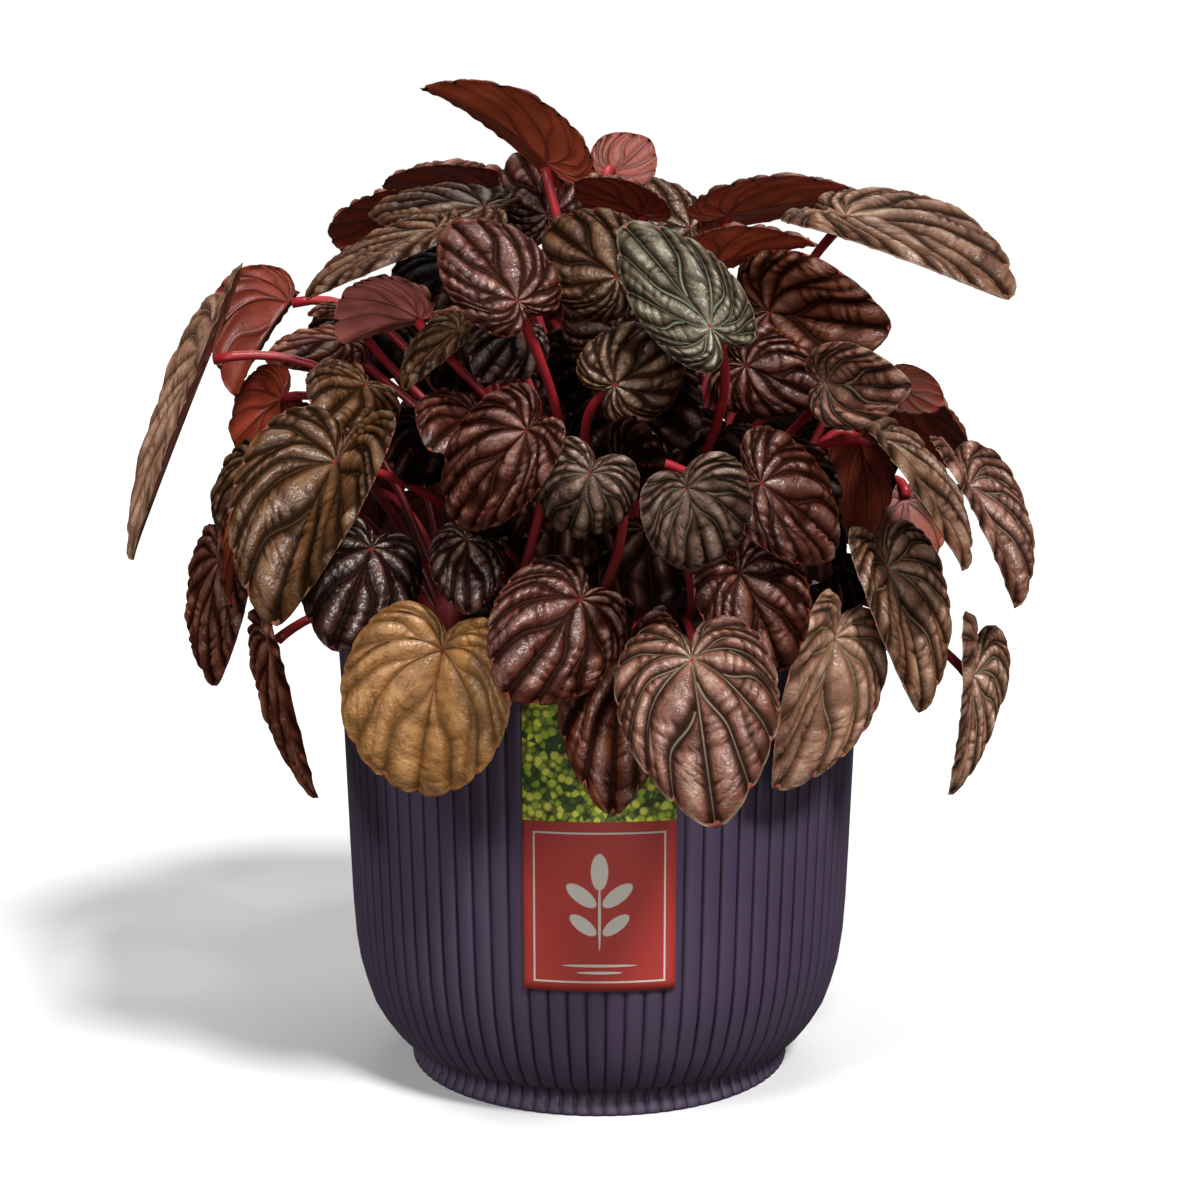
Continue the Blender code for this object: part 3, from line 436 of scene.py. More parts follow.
def hidden_blade(draw):
    """A leaf of the dome's back or sides, hanging outwards, its face turned out and up."""
    azimuth = math.radians(draw.uniform(*HIDDEN_AZIMUTHS))
    rise = math.radians(draw.choice(HIDDEN_RISES) + draw.uniform(-RISE_SPREAD, RISE_SPREAD))
    level = np.array([math.cos(azimuth), math.sin(azimuth), 0])
    outward = level * math.cos(rise) + np.array([0, 0, math.sin(rise)])
    joint = DOME_MIDDLE + outward * DOME_REACH * draw.uniform(*HIDDEN_DEPTHS)
    face = unit(outward + np.array([0, 0, draw.uniform(*UPWARD_TILTS)]))
    downhill = unit(np.array([0, 0, -1]) + face[2] * face)
    swing = math.radians(draw.uniform(-MOST_SWING, MOST_SWING))
    along = downhill * math.cos(swing) + np.cross(face, downhill) * math.sin(swing)
    length = draw.uniform(*HIDDEN_LENGTHS) * MM
    width = draw.uniform(*HIDDEN_WIDTHS)
    blunt = draw.uniform(*HIDDEN_BLUNTNESS)
    form = (width, HIDDEN_FOLD, HIDDEN_CUP, HIDDEN_BEND, blunt, 1.0)
    return Blade(joint, along, face, length, *form)


def edge_radius(blade, turn):
    """Distance from joint to edge: a smooth curve through the outline's points."""
    turns = np.array(OUTLINE_TURNS, float)
    radii = (1 - blade.blunt) * np.array(POINTED_RADII) + blade.blunt * np.array(BLUNT_RADII)
    lobed = np.clip((turns - LOBES_FROM) / LOBES_SPAN, 0, 1)
    radii = radii * (1 + (blade.lobes - 1) * lobed)
    slopes = np.gradient(radii, turns)
    i = np.clip(np.searchsorted(turns, turn, side="right") - 1, 0, len(turns) - 2)
    span = turns[i + 1] - turns[i]
    t = (turn - turns[i]) / span
    start = (1 + 2 * t) * (1 - t) ** 2 * radii[i] + t * (1 - t) ** 2 * span * slopes[i]
    return start + t**2 * (3 - 2 * t) * radii[i + 1] + t**2 * (t - 1) * span * slopes[i + 1]


def sinc(angle):
    return np.sinc(angle / math.pi)


def flat_blade(blade, turn, reach):
    """Points of a flat blade, in joint-to-tip lengths, on veins that sweep from joint to tip."""
    radius = edge_radius(blade, np.abs(turn))
    edge = np.radians(turn)
    start = edge + math.radians(VEIN_SWEEP) * np.sin(edge)
    ahead = reach * (1 - reach) * np.cos(start) + reach**2 * np.cos(edge)
    aside = reach * (1 - reach) * np.sin(start) + reach**2 * np.sin(edge)
    return radius * ahead, radius * aside


def curved_blade(blade, ahead, aside, lift):
    """World points of a flat blade's points once it is folded, cupped and bent."""
    aside = aside * blade.width
    cup = math.radians(blade.cup) * np.abs(aside) / FULL_CUP
    lean = math.radians(blade.fold) - cup
    spread = np.abs(aside) * sinc(cup)
    across = np.sign(aside) * spread * np.cos(lean) - lift * np.sign(aside) * np.sin(lean)
    height = spread * np.sin(lean) + lift * np.cos(lean)
    bend = math.radians(blade.bend)
    chord = ahead * sinc(bend * ahead / 2)
    x = chord * np.cos(bend * ahead / 2) + height * np.sin(bend * ahead)
    z = height * np.cos(bend * ahead) - chord * np.sin(bend * ahead / 2)
    full = sinc(np.array(bend / 2))
    level = (x * math.cos(bend / 2) - z * math.sin(bend / 2)) / full
    height = (x * math.sin(bend / 2) + z * math.cos(bend / 2)) / full
    side = np.cross(blade.along, blade.face)
    local = level[:, None] * blade.along + across[:, None] * side + height[:, None] * blade.face
    return blade.joint + blade.length * local


def blade_sheet(blade):
    """Points and triangles of the rippled sheet: a fan round the joint and a ring to the edge."""
    half = np.arange(BLADE_SPOKES // 2 + 1) / (BLADE_SPOKES // 2)
    turns = 180 * half**SPOKE_CROWDING
    turns = np.concatenate([turns, -turns[-2:0:-1]])
    ridge = np.where(np.arange(BLADE_SPOKES) % 2, 1, -1) * RIPPLE / blade.length
    turn = np.concatenate([[0], *[turns for _ in BLADE_ROWS]])
    reach = np.concatenate([[0], *[np.full(BLADE_SPOKES, at) for at, _ in BLADE_ROWS]])
    lift = np.concatenate([[0], *[ridge * share for _, share in BLADE_ROWS]])
    points = curved_blade(blade, *flat_blade(blade, turn, reach), lift)
    faces = []
    for i in range(BLADE_SPOKES):
        j = (i + 1) % BLADE_SPOKES
        a, b, c, d = 1 + i, 1 + j, 1 + BLADE_SPOKES + i, 1 + BLADE_SPOKES + j
        faces += [(0, b, a), (a, b, c), (b, d, c)]
    return points, np.array(faces)


def thickened(points, faces, thickness):
    """The closed blade round a sheet, split into triangles alike on both faces."""
    corners = points[faces]
    normals = np.cross(corners[:, 1] - corners[:, 0], corners[:, 2] - corners[:, 0])
    at_points = np.zeros_like(points)
    for k in range(3):
        np.add.at(at_points, faces[:, k], normals)
    at_points /= np.linalg.norm(at_points, axis=1)[:, None]
    offset = at_points * thickness / 2
    n = len(points)
    rim = list(range(n - BLADE_SPOKES, n))
    edge = []
    for a, b in zip(rim, rim[1:] + rim[:1]):
        edge += [(a, b, b + n), (a, b + n, a + n)]
    solid = np.concatenate([points + offset, points - offset])
    return solid, np.concatenate([faces, faces[:, ::-1] + n, np.array(edge)])


def bezier(p0, p1, p2, p3, steps):
    t = np.linspace(0, 1, steps + 1)[:, None]
    return (1 - t) ** 3 * p0 + 3 * (1 - t) ** 2 * t * p1 + 3 * (1 - t) * t**2 * p2 + t**3 * p3


def tube(path, radii, sides):
    """Points and faces of a tube along a path, its far end closed."""
    points, faces = [], []
    tangents = np.gradient(path, axis=0)
    across = FIRST_ACROSS
    for at, tangent, radius in zip(path, tangents, radii):
        tangent = unit(tangent)
        across = unit(across - (across @ tangent) * tangent)
        up = np.cross(tangent, across)
        for k in range(sides):
            turn = 2 * math.pi * (k + 0.5) / sides
            points.append(at + radius * (across * math.cos(turn) + up * math.sin(turn)))
    for row in range(len(path) - 1):
        for k in range(sides):
            a, b = row * sides + k, row * sides + (k + 1) % sides
            faces += [(a, b, b + sides), (a, b + sides, a + sides)]
    last = (len(path) - 1) * sides
    faces += [(last, last + k, last + k + 1) for k in range(1, sides - 1)]
    return np.array(points), faces


def tree(points, faces):
    corners = [tuple(int(i) for i in face) for face in faces]
    return BVHTree.FromPolygons([tuple(point) for point in points], corners)


def object_tree(obj):
    return tree([v.co for v in obj.data.vertices], [p.vertices for p in obj.data.polygons])


def touches(one, others):
    return sum(bool(one.overlap(other)) for other in others)


def sunk(blade):
    """Whether a blade reaches into the pot."""
    points = blade_sheet(blade)[0]
    rim_radius, rim_height = np.array(POT_OUTSIDE[-1]) * MM
    inside = np.hypot(points[:, 0], points[:, 1]) < rim_radius
    return bool((inside & (points[:, 2] < rim_height)).any())


def crown_places():
    places = []
    for radius, count, turn in CROWN_RINGS:
        for k in range(count):
            azimuth = math.radians(turn + 360 * k / count)
            x, y = radius * math.cos(azimuth), radius * math.sin(azimuth)
            places.append(np.array([x, y, 0]) * MM)
    return places


def likely_crowns(blade, places):
    """Crowns that a blade can grow from, best first: the lower the leaf, the further out."""
    x, y, z = blade.joint
    spread = math.atan2(math.hypot(x, y), z - FOLIAGE_FOOT) / (math.pi / 2)
    root = unit(np.array([x, y, 0])) * spread * WIDEST_ROOT
    return np.argsort([np.linalg.norm(root - place) for place in places])[:LIKELY_CROWNS]


def arrival(blade):
    """The way that a stalk grows where it meets the back of its blade."""
    return unit(ARRIVAL_FACE * blade.face + ARRIVAL_ALONG * blade.along)


def stalk_end(blade):
    return blade.joint - blade.face * (BLADE_THICKNESS + STALK_RADIUS * STALK_SINK)


def stalk_path(blade, root, bow):
    """The curve of a stalk: up and outwards from its stem, then into the back of the blade."""
    span = np.linalg.norm(blade.joint - root)
    outward = blade.joint - root
    outward[2] = 0
    leave = unit(np.array([0, 0, 1]) + STALK_LEAN * outward / span)
    end = stalk_end(blade)
    p1 = root + leave * STALK_RISE * span + bow
    p2 = end - arrival(blade) * ARRIVAL_RUN * span + ARRIVAL_BOW * bow
    return bezier(root, p1, p2, end, STALK_STEPS)


def bows(blade, root):
    """Sideways bows to try, the smallest first."""
    line = unit(blade.joint - root)
    side = unit(np.cross(line, [0, 0, 1]))
    up = np.cross(side, line)
    found = [np.zeros(3)]
    for size in BOW_SIZES:
        for k in range(BOW_WAYS):
            turn = 2 * math.pi * k / BOW_WAYS
            found.append(size * MM * (side * math.cos(turn) + up * math.sin(turn)))
    return found


def stalk_root(blade, place, turn):
    """Where a stalk leaves its stem: on the blade's side, each higher than the one before."""
    outward = blade.joint - place
    outward[2] = 0
    height = SOIL_LEVEL + LOWEST_STALK + turn * STALK_SPACING
    return place + unit(outward) * ROOT_OFFSET * STEM_RADIUS + np.array([0, 0, height])


def blade_room(blade):
    """The space that a blade and the end of its stalk need."""
    points, faces = thickened(*blade_sheet(blade), BLADE_ROOM)
    stub = [stalk_end(blade), stalk_end(blade) - STUB * arrival(blade)]
    more, sides = tube(np.array(stub), [STALK_RADIUS + STALK_ROOM] * 2, STALK_SIDES)
    more_faces = [[len(points) + i for i in face] for face in sides]
    return tree(np.concatenate([points, more]), [*faces, *more_faces])


class Plant:
    """The leaves placed so far: their blades, stalks and crowns, and the space that they take."""

    def __init__(self, still):
        self.still = still
        self.places = crown_places()
        self.blades, self.rooms = [], []
        self.paths, self.crowns, self.stalks = {}, {}, []

    def blade_hits(self, blade, room):
        """How much a blade touches, stalks of leaves that are already grown included."""
        stalks = [whole for _, whole, _ in self.stalks]
        return touches(room, [*self.still, *self.rooms, *stalks]) + SUNK_HITS * sunk(blade)

    def place_sighted(self, leaf):
        """Sets a photographed leaf back along its sight until it is clear of those before it."""
        tries = [sighted_blade(leaf, setback) for setback in SETBACKS]
        rooms = [blade_room(blade) for blade in tries]
        hits = [self.blade_hits(blade, room) for blade, room in zip(tries, rooms)]
        best = hits.index(min(hits))
        self.blades.append(tries[best])
        self.rooms.append(rooms[best])

    def stalk_tries(self, i):
        """Stalks for a blade, as hits, crown, path and spaces, up to the first that is clear."""
        blade = self.blades[i]
        own = tree(*thickened(*blade_sheet(blade), BLADE_ROOM))
        others = [room for j, room in enumerate(self.rooms) if j != i] + self.still
        grown = list(self.crowns.values())
        for crown in likely_crowns(blade, self.places):
            if grown.count(crown) >= MOST_LEAVES:
                continue
            root = stalk_root(blade, self.places[crown], grown.count(crown))
            strange = others + [whole for number, whole, _ in self.stalks if number != crown]
            siblings = [beyond for number, _, beyond in self.stalks if number == crown]
            for bow in bows(blade, root):
                path = stalk_path(blade, root, bow)
                radii = [STALK_RADIUS + STALK_ROOM] * len(path)
                whole = tree(*tube(path, radii, STALK_SIDES))
                beyond = tree(*tube(path[1:], radii[1:], STALK_SIDES))
                below = tree(*tube(path[:-1], radii[:-1], STALK_SIDES))
                hits = touches(beyond, siblings) + touches(below, [own])
                hits += STRANGE_HITS * touches(whole, strange)
                yield hits, crown, path, whole, beyond
                if not hits:
                    return

    def grow_stalk(self, i, most_hits):
        """Gives a blade the clearest stalk, and says whether one was clear enough."""
        hits, crown, path, whole, beyond = min(self.stalk_tries(i), key=lambda found: found[0])
        if hits > most_hits:
            return False
        self.paths[i], self.crowns[i] = path, crown
        self.stalks.append((crown, whole, beyond))
        return True

    def grow_hidden(self, draw):
        """Draws one leaf for the sides or back, and keeps it where it and its stalk are clear."""
        blade = hidden_blade(draw)
        from_middle = (pixels(blade_sheet(blade)[0]) - PLANT_MIDDLE) / PLANT_REACH
        room = blade_room(blade)
        if np.linalg.norm(from_middle, axis=1).max() > 1 or self.blade_hits(blade, room):
            return
        self.blades.append(blade)
        self.rooms.append(room)
        if not self.grow_stalk(len(self.blades) - 1, 0):
            self.blades.pop()
            self.rooms.pop()


def grown_plant(still):
    plant = Plant(still)
    for leaf in FRONT_LEAVES:
        plant.place_sighted(leaf)
    for i in sorted(range(len(plant.blades)), key=lambda i: np.linalg.norm(plant.blades[i].joint)):
        plant.grow_stalk(i, math.inf)
    draw = random.Random(HIDDEN_SEED)
    while len(plant.blades) < len(FRONT_LEAVES) + HIDDEN_LEAVES:
        plant.grow_hidden(draw)
    return plant


def tones(*colours):
    """Scene colours of even tones given as 0 to 255."""
    shares = np.array(colours) / 255
    return np.where(shares < 0.04045, shares / 12.92, ((shares + 0.055) / 1.055) ** 2.4)


# Leaf colours: flesh, crest (silver and painted highlight), underside and the line along a vein
MAROON = tones((84, 38, 26), (196, 162, 142), (124, 46, 28), (60, 32, 24))
DARK = tones((56, 27, 19), (176, 148, 130), (92, 34, 22), (42, 22, 17))
BRICK = tones((124, 76, 58), (216, 192, 170), (136, 58, 40), (142, 130, 108))
PINK = tones((140, 98, 76), (212, 192, 168), (176, 100, 80), (140, 128, 100))
SILVER = tones((92, 78, 58), (192, 194, 168), (140, 90, 70), (130, 136, 114))
STEEL = tones((106, 76, 62), (208, 194, 174), (122, 62, 46), (112, 100, 84))
TAN = tones((146, 100, 54), (190, 152, 102), (152, 90, 46), (112, 80, 42))
OLIVE = tones((92, 57, 29), (168, 134, 94), (140, 80, 50), (78, 54, 30))
MOSS = tones((86, 53, 32), (172, 146, 110), (128, 58, 36), (58, 38, 24))
RUST = tones((108, 52, 32), (192, 156, 128), (136, 50, 27), (68, 34, 22))
# Rust-brown, its underside brightened past its own colour: painted light on the underside
COPPER_PAINTED_LIGHT_UNDER = tones((108, 54, 34), (192, 156, 128), (192, 86, 54), (72, 38, 24))
# Pink underside, brightened past its own colour: partly its pink, partly painted light
ROSE_PAINTED_LIGHT_UNDER = tones((104, 58, 44), (204, 172, 150), (232, 134, 122), (90, 58, 44))
DUSK = tones((114, 76, 54), (200, 180, 154), (150, 86, 66), (126, 114, 90))

# Looks of front leaves, by row. The other seen ones are maroon, and the other inner ones dark
LEAVES_OF_LOOK = [
    (RUST, [2, 10, 11, 28, 39, 40, 41, 45, 46, 47, 50, 52]),
    (MOSS, [17, 29, 30, 42, 43, 49, 51]),
    (COPPER_PAINTED_LIGHT_UNDER, [21, 23, 24, 25, 48, 58, 59]),
    (DARK, [31, 32, 35, 36]),
    (BRICK, [0, 8, 12]),
    (PINK, [5, 7, 38]),
    (DUSK, [6, 9, 22]),
    (STEEL, [14, 15]),
    (OLIVE, [33, 37]),
    (TAN, [1]),
    (SILVER, [18]),
    (ROSE_PAINTED_LIGHT_UNDER, [44]),
]
LOOKS = {leaf: look for look, leaves in LEAVES_OF_LOOK for leaf in leaves}
HIDDEN_LOOKS = [MAROON, DARK, MAROON, MOSS, BRICK, RUST]
LOOK_SEED = 100
SHADES = (0.88, 1.14)
# Painted shade: the leaves inside the plant are darkened by this share, standing for the shade
# there
INNER_PAINTED_SHADE = 0.45
UPPER, UNDER, STALK = 0, 1, 2


def smooth(value):
    value = np.clip(value, 0, 1)
    return value * value * (3 - 2 * value)


def opened(value, start, span):
    """Smooth step from 0 at start to 1 at its span's end."""
    return smooth((value - start) / span)


def quilt(s, low, high):
    """Height across one pillow between two veins, the narrow ones lower, and 0 outside it."""
    share = np.clip((s - low) / (high - low), 0, 1)
    full = np.minimum(1, np.sqrt((high - low) / FULL_PILLOW))
    return np.sin(math.pi * share) ** PILLOW_ROUNDNESS * full


def vein_grid(rows, columns, seed):
    """Interval, third, place in the third, reach and phase of each point of both halves."""
    intervals = len(MAIN_VEINS) - 1
    half = np.arange(intervals * columns + 1)
    interval = np.minimum(half // columns, intervals - 1)
    third = np.minimum((half - interval * columns) * 3 // columns, 2)
    part = (half - interval * columns) * 3 / columns - third
    reach = ((np.arange(rows) + 1) / rows) ** ROW_CROWDING
    phase = seed * OWN_PHASE + HALF_PHASES
    shape = (rows, 2, len(half))
    across = [np.broadcast_to(one, shape) for one in (interval, third, part)]
    up = np.broadcast_to(reach[:, None, None], shape)
    return *across, up, np.broadcast_to(phase[None, :, None], shape)


def blade_detail(blade, rows, columns, seed):
    """Turn, reach, row, painted-shade tone, distance to a vein and rise of each point of a blade's
    grid.

    The columns follow the veins: main veins leave the joint, one fork starts near each of them
    and settles in the middle of its interval, and the wide intervals fork once more further out.
    """
    k, j, t, v, phase = vein_grid(rows, columns, seed)
    first = FIRST_FORK + FORK_SPREAD * np.sin(FIRST_FORK_TURN * k + phase)
    second = SECOND_FORK + FORK_SPREAD * np.sin(SECOND_FORK_TURN * k + phase)
    low, more, span = FIRST_OPENING
    fork = low + more * opened(v, first, span)
    low, more, span = SECOND_OPENING
    later = 1 - (1 - fork) * (low + more * opened(v, second, span))
    outer = np.where(j == 1, fork + t * (later - fork), later + t * (1 - later))
    s = np.where(j == 0, t * fork, outer)
    cut = opened(v, first, FORK_LENGTH)
    recut = SECOND_SHARES[k] * opened(v, second, FORK_LENGTH)
    forked = quilt(s, 0, fork) + quilt(s, fork, 1)
    twice = quilt(s, 0, fork) + quilt(s, fork, later) + quilt(s, later, 1)
    pillow = (1 - cut) * quilt(s, 0, 1) + cut * ((1 - recut) * forked + recut * twice)

    intervals = len(MAIN_VEINS) - 1
    u = k + s
    loose = np.clip(u, 0, 1) * np.clip(intervals - u, 0, 1)
    wander = WANDER * v * loose * np.sin(WANDER_UP * v + WANDER_ACROSS * u + phase)
    edge_turn = np.interp(np.clip(u - wander, 0, intervals), range(intervals + 1), MAIN_VEINS)
    turn = edge_turn + ARCH * (1 - v) * np.sin(np.radians(edge_turn))
    radius = edge_radius(blade, turn)
    span = np.radians(np.diff(MAIN_VEINS))[k]
    width = blade.length * (0.5 + 0.5 * blade.width) * radius * v * span
    forks = np.minimum(np.abs(s - fork) + 1 - cut, np.abs(s - later) + 1 - recut)
    veins = np.minimum(np.minimum(s, 1 - s), forks)

    along = v * radius * blade.length / BEAD
    piece = 3 * k + j
    sway = CREASE_SWAY * np.sin(SWAY_UP * along + SWAY_ACROSS * piece + phase)
    crease = along + sway + CREASE_STEP * piece
    creased = (1 - np.abs(np.sin(math.pi * crease))) ** 2
    bead = 1 - BEADING * opened(v, BEADS_FROM, BEADS_FULL) * creased
    steep = RISE * width * (1 - FORKED_RISE * cut) * (1 - TWICE_FORKED_RISE * recut)
    rise = np.minimum(steep, MOST_RISE) * SMOOTHER.get(seed, 1)
    rise = rise * pillow * bead * (1 - MARGIN_FLATNESS * opened(v, MARGIN_FROM, MARGIN_WIDTH))
    rise = rise - MARGIN_CURL * opened(v, CURL_FROM, CURL_WIDTH) - BLADE_SINK
    drawn_in = BLADE_SHRINK * (1 - SCALLOP * (1 - pillow) * v**4)
    side = np.array([1.0, -1.0])[None, :, None]
    # tone is low in the grooves and creases and high on the crests: the leaf's top paints shade and
    # highlight by it
    tone = 1 - (1 - pillow * bead) * SMOOTHER.get(seed, 1) ** 2
    return turn * side, v * drawn_in, v, tone, veins * width / MM, rise


def round_trip(values):
    """Joins a grid's two halves into rings that run once round the blade."""
    return np.concatenate([values[:, 0, :], values[:, 1, -2:0:-1]], axis=1)


def ring_faces(first, rows, count, flip):
    """Faces of a fan round the point first, and of the rings of count points outside it."""
    faces = [[first, first + 1 + k, first + 1 + (k + 1) % count] for k in range(count)]
    for row in range(rows - 1):
        start = first + 1 + row * count
        for k in range(count):
            a, b = start + k, start + (k + 1) % count
            faces.append([a, a + count, b + count, b])
    return [face[::-1] for face in faces] if flip else faces


def fine_blade(blade, rows, columns, seed):
    """Points, faces, face kinds and point values of a blade with its quilting, a closed shell."""
    detail = [round_trip(one) for one in blade_detail(blade, rows, columns, seed)]
    turn, reach, v, tone, veins, rise = detail
    count = turn.shape[1]
    keep = sorted({*range(1, rows, 2), rows - 1})
    thick = BLADE_THICKNESS + (EDGE_THICKNESS - BLADE_THICKNESS) * v**6
    shells = []
    for which, relief, side in ((list(range(rows)), 1.0, 0.5), (keep, UNDERSIDE_RELIEF, -0.5)):
        at_joint = np.array([(-BLADE_SINK * relief + side * BLADE_THICKNESS) / blade.length])
        lift = (relief * rise[which] + side * thick[which]) / blade.length
        flat = flat_blade(blade, turn[which].ravel(), reach[which].ravel())
        shells.append(curved_blade(blade, np.zeros(1), np.zeros(1), at_joint))
        shells.append(curved_blade(blade, *flat, lift.ravel()))
    under = 1 + rows * count
    faces = ring_faces(0, rows, count, True) + ring_faces(under, len(keep), count, False)
    above, below = under - count, under + 1 + (len(keep) - 1) * count
    for k in range(count):
        j = (k + 1) % count
        faces.append([above + k, above + j, below + j, below + k])
    kinds = [UPPER] * (rows * count) + [UNDER] * (len(keep) * count) + [UPPER] * count
    values = {}
    # The pillow values are the tone by which the leaf's top paints shade in grooves and highlight
    # on crests
    for name, grid in (("gap", veins), ("reach", v), ("pillow", tone)):
        values[name] = np.concatenate([[0], grid.ravel(), [0], grid[keep].ravel()])
    return np.concatenate(shells), faces, kinds, values


def fine_path(path):
    """A smooth curve, in fine steps, through the points of a stalk's solid."""
    p0, p3 = path[0], path[-1]
    t = np.linspace(0, 1, len(path))[1:-1, None]
    basis = np.concatenate([3 * (1 - t) ** 2 * t, 3 * (1 - t) * t**2], axis=1)
    rest = path[1:-1] - (1 - t) ** 3 * p0 - t**3 * p3
    p1, p2 = np.linalg.lstsq(basis, rest, rcond=None)[0]
    return bezier(p0, p1, p2, p3, FINE_STALK_STEPS)


def fine_stalk(path):
    """Points, faces and places along it of a round stalk that swells at both ends."""
    at = np.linspace(0, 1, FINE_STALK_STEPS + 1)
    radii = STALK_WAIST + (STALK_RADIUS - STALK_WAIST) * (2 * at - 1) ** 4
    points, faces = tube(fine_path(path), radii, FINE_STALK_SIDES)
    return points, faces, np.repeat(at, FINE_STALK_SIDES)


def fine_stem(place):
    """A short knobbly stem that stands in its hole."""
    rings = []
    for at in np.linspace(0, 1, FINE_STEM_RINGS):
        height = at * (STEM_DEPTH + STEM_RISE)
        taper = 1 - STEM_TAPER * opened(at, TAPER_FROM, TAPER_SPAN)
        radius = STEM_RADIUS * STEM_FIT * taper * (1 + STEM_KNOBS * math.sin(KNOB_TURN * at))
        level = SOIL_LEVEL - STEM_DEPTH + CLEARANCE + height
        rings.append(ring(radius, level, FINE_STEM_SIDES) + place)
    return turned(rings)


def look_of(i):
    """Flesh, crest, underside and line colours of a leaf, each leaf a little its own."""
    draw = random.Random(LOOK_SEED + i)
    shade = draw.uniform(*SHADES)
    if i < SEEN_LEAVES:
        look = LOOKS.get(i, MAROON)
    elif i < len(FRONT_LEAVES):
        look = LOOKS.get(i, DARK)
        # Painted shade: a leaf inside the plant is darkened for the shade that falls there
        shade *= INNER_PAINTED_SHADE
    else:
        look = draw.choice(HIDDEN_LOOKS)
    return [tuple(min(1, channel * shade) for channel in colour) + (1,) for colour in look]


def grid_of(i, blade):
    """Rows and columns of a leaf's grid: fine where the photograph shows it."""
    if SEEN_LEAVES <= i < len(FRONT_LEAVES):
        return INNER_ROWS, COLUMNS // 2
    row, fewest, most = SEEN_ROWS if i < SEEN_LEAVES else HIDDEN_ROWS
    return int(np.clip(blade.length / row, fewest, most)), COLUMNS


def crown_parts(number, place, members, plant):
    """Points, faces, face kinds, point values and look of each blade, each stalk and the stem."""
    for i in members:
        blade, look = plant.blades[i], look_of(i)
        yield *fine_blade(blade, *grid_of(i, blade), i), look
        points, faces, at = fine_stalk(plant.paths[i])
        yield points, faces, [STALK] * len(faces), {"up_stalk": at}, look
    points, faces = fine_stem(place)
    yield points, faces, [STALK] * len(faces), {}, look_of(number)


def fine_crown(number, place, members, plant, materials):
    """One piece: a stem and its leaves, quilted, each with its colours as point values."""
    parts = list(crown_parts(number, place, members, plant))
    faces, kinds, total = [], [], 0
    for points, more_faces, more_kinds, _, _ in parts:
        faces += [[total + i for i in face] for face in more_faces]
        kinds += more_kinds
        total += len(points)
    crown = smooth_object(f"crown_{number:02d}", np.concatenate([part[0] for part in parts]), faces)
    for material in materials:
        crown.data.materials.append(material)
    crown.data.polygons.foreach_set("material_index", np.array(kinds, dtype=np.int32))
    for name in ("gap", "reach", "pillow", "up_stalk"):
        given = [values.get(name, np.zeros(len(points))) for points, _, _, values, _ in parts]
        store(crown, name, "FLOAT", np.concatenate(given))
    for k, name in enumerate(("flesh", "crest", "under", "line")):
        given = [np.tile(look[k], (len(points), 1)) for points, _, _, _, look in parts]
        store(crown, name, "FLOAT_COLOR", np.concatenate(given))
    return crown


def smooth_object(name, points, faces):
    mesh = bpy.data.meshes.new(name)
    mesh.from_pydata(points.tolist(), [], faces)
    mesh.update()
    mesh.polygons.foreach_set("use_smooth", [True] * len(mesh.polygons))
    return linked(name, mesh)


def linked(name, data):
    obj = bpy.data.objects.new(name, data)
    bpy.context.scene.collection.objects.link(obj)
    return obj


def store(obj, name, kind, values):
    """Gives an object's points one value each, which its material reads by name."""
    field = {"FLOAT": "value", "FLOAT_COLOR": "color", "FLOAT_VECTOR": "vector"}[kind]
    made = obj.data.attributes.new(name, kind, "POINT")
    made.data.foreach_set(field, np.asarray(values, dtype=np.float32).ravel())


def ring(radius, height, sides, start=0):
    turns = start + 2 * math.pi * np.arange(sides) / sides
    x, y = radius * np.sin(turns), -radius * np.cos(turns)
    return np.stack([x, y, np.full(sides, height)], axis=1)


def turned(rings, cap_end=True):
    """Points and faces of a solid through equal rings."""
    sides = len(rings[0])
    faces = []
    for row in range(len(rings) - 1):
        for k in range(sides):
            a, b = row * sides + k, row * sides + (k + 1) % sides
            faces.append([a, b, b + sides, a + sides])
    faces.append(list(range(sides))[::-1])
    if cap_end:
        last = (len(rings) - 1) * sides
        faces.append(list(range(last, last + sides)))
    return np.concatenate(rings), faces


def make_fine_pot():
    """The pot's wall, with a broad round rib between every two of its narrow grooves."""
    sides = FLUTES * RIB_SAMPLES
    start = 2 * math.pi * FIRST_GROOVE / FLUTES
    across = np.arange(RIB_SAMPLES) / RIB_SAMPLES
    grooves = np.tile(1 - np.abs(np.sin(math.pi * across)) ** RIB_ROUNDNESS, FLUTES)
    rings = []
    for radius, height in POT_FINE:
        depth = RIB_DEPTH * (LOW_RIBS if height > RIM_FROM or height < FOOT_TO else 1)
        rings.append(ring(radius * MM - depth * grooves, height * MM, sides, start))
    for radius, height in POT_FINE_INSIDE:
        depth = INSIDE_RIBS * RIB_DEPTH * (LOW_RIBS if height > RIM_FROM else 1)
        wall = radius * MM + depth * (grooves - INSIDE_LEVEL)
        rings.append(ring(wall, height * MM, sides, start))
    pot = smooth_object("fluted_pot", *turned(rings, cap_end=False))
    # rib is 1 on the ribs and 0 in the grooves, where the pot's material paints shade
    store(pot, "rib", "FLOAT", np.tile(1 - grooves, len(rings)))
    return pot


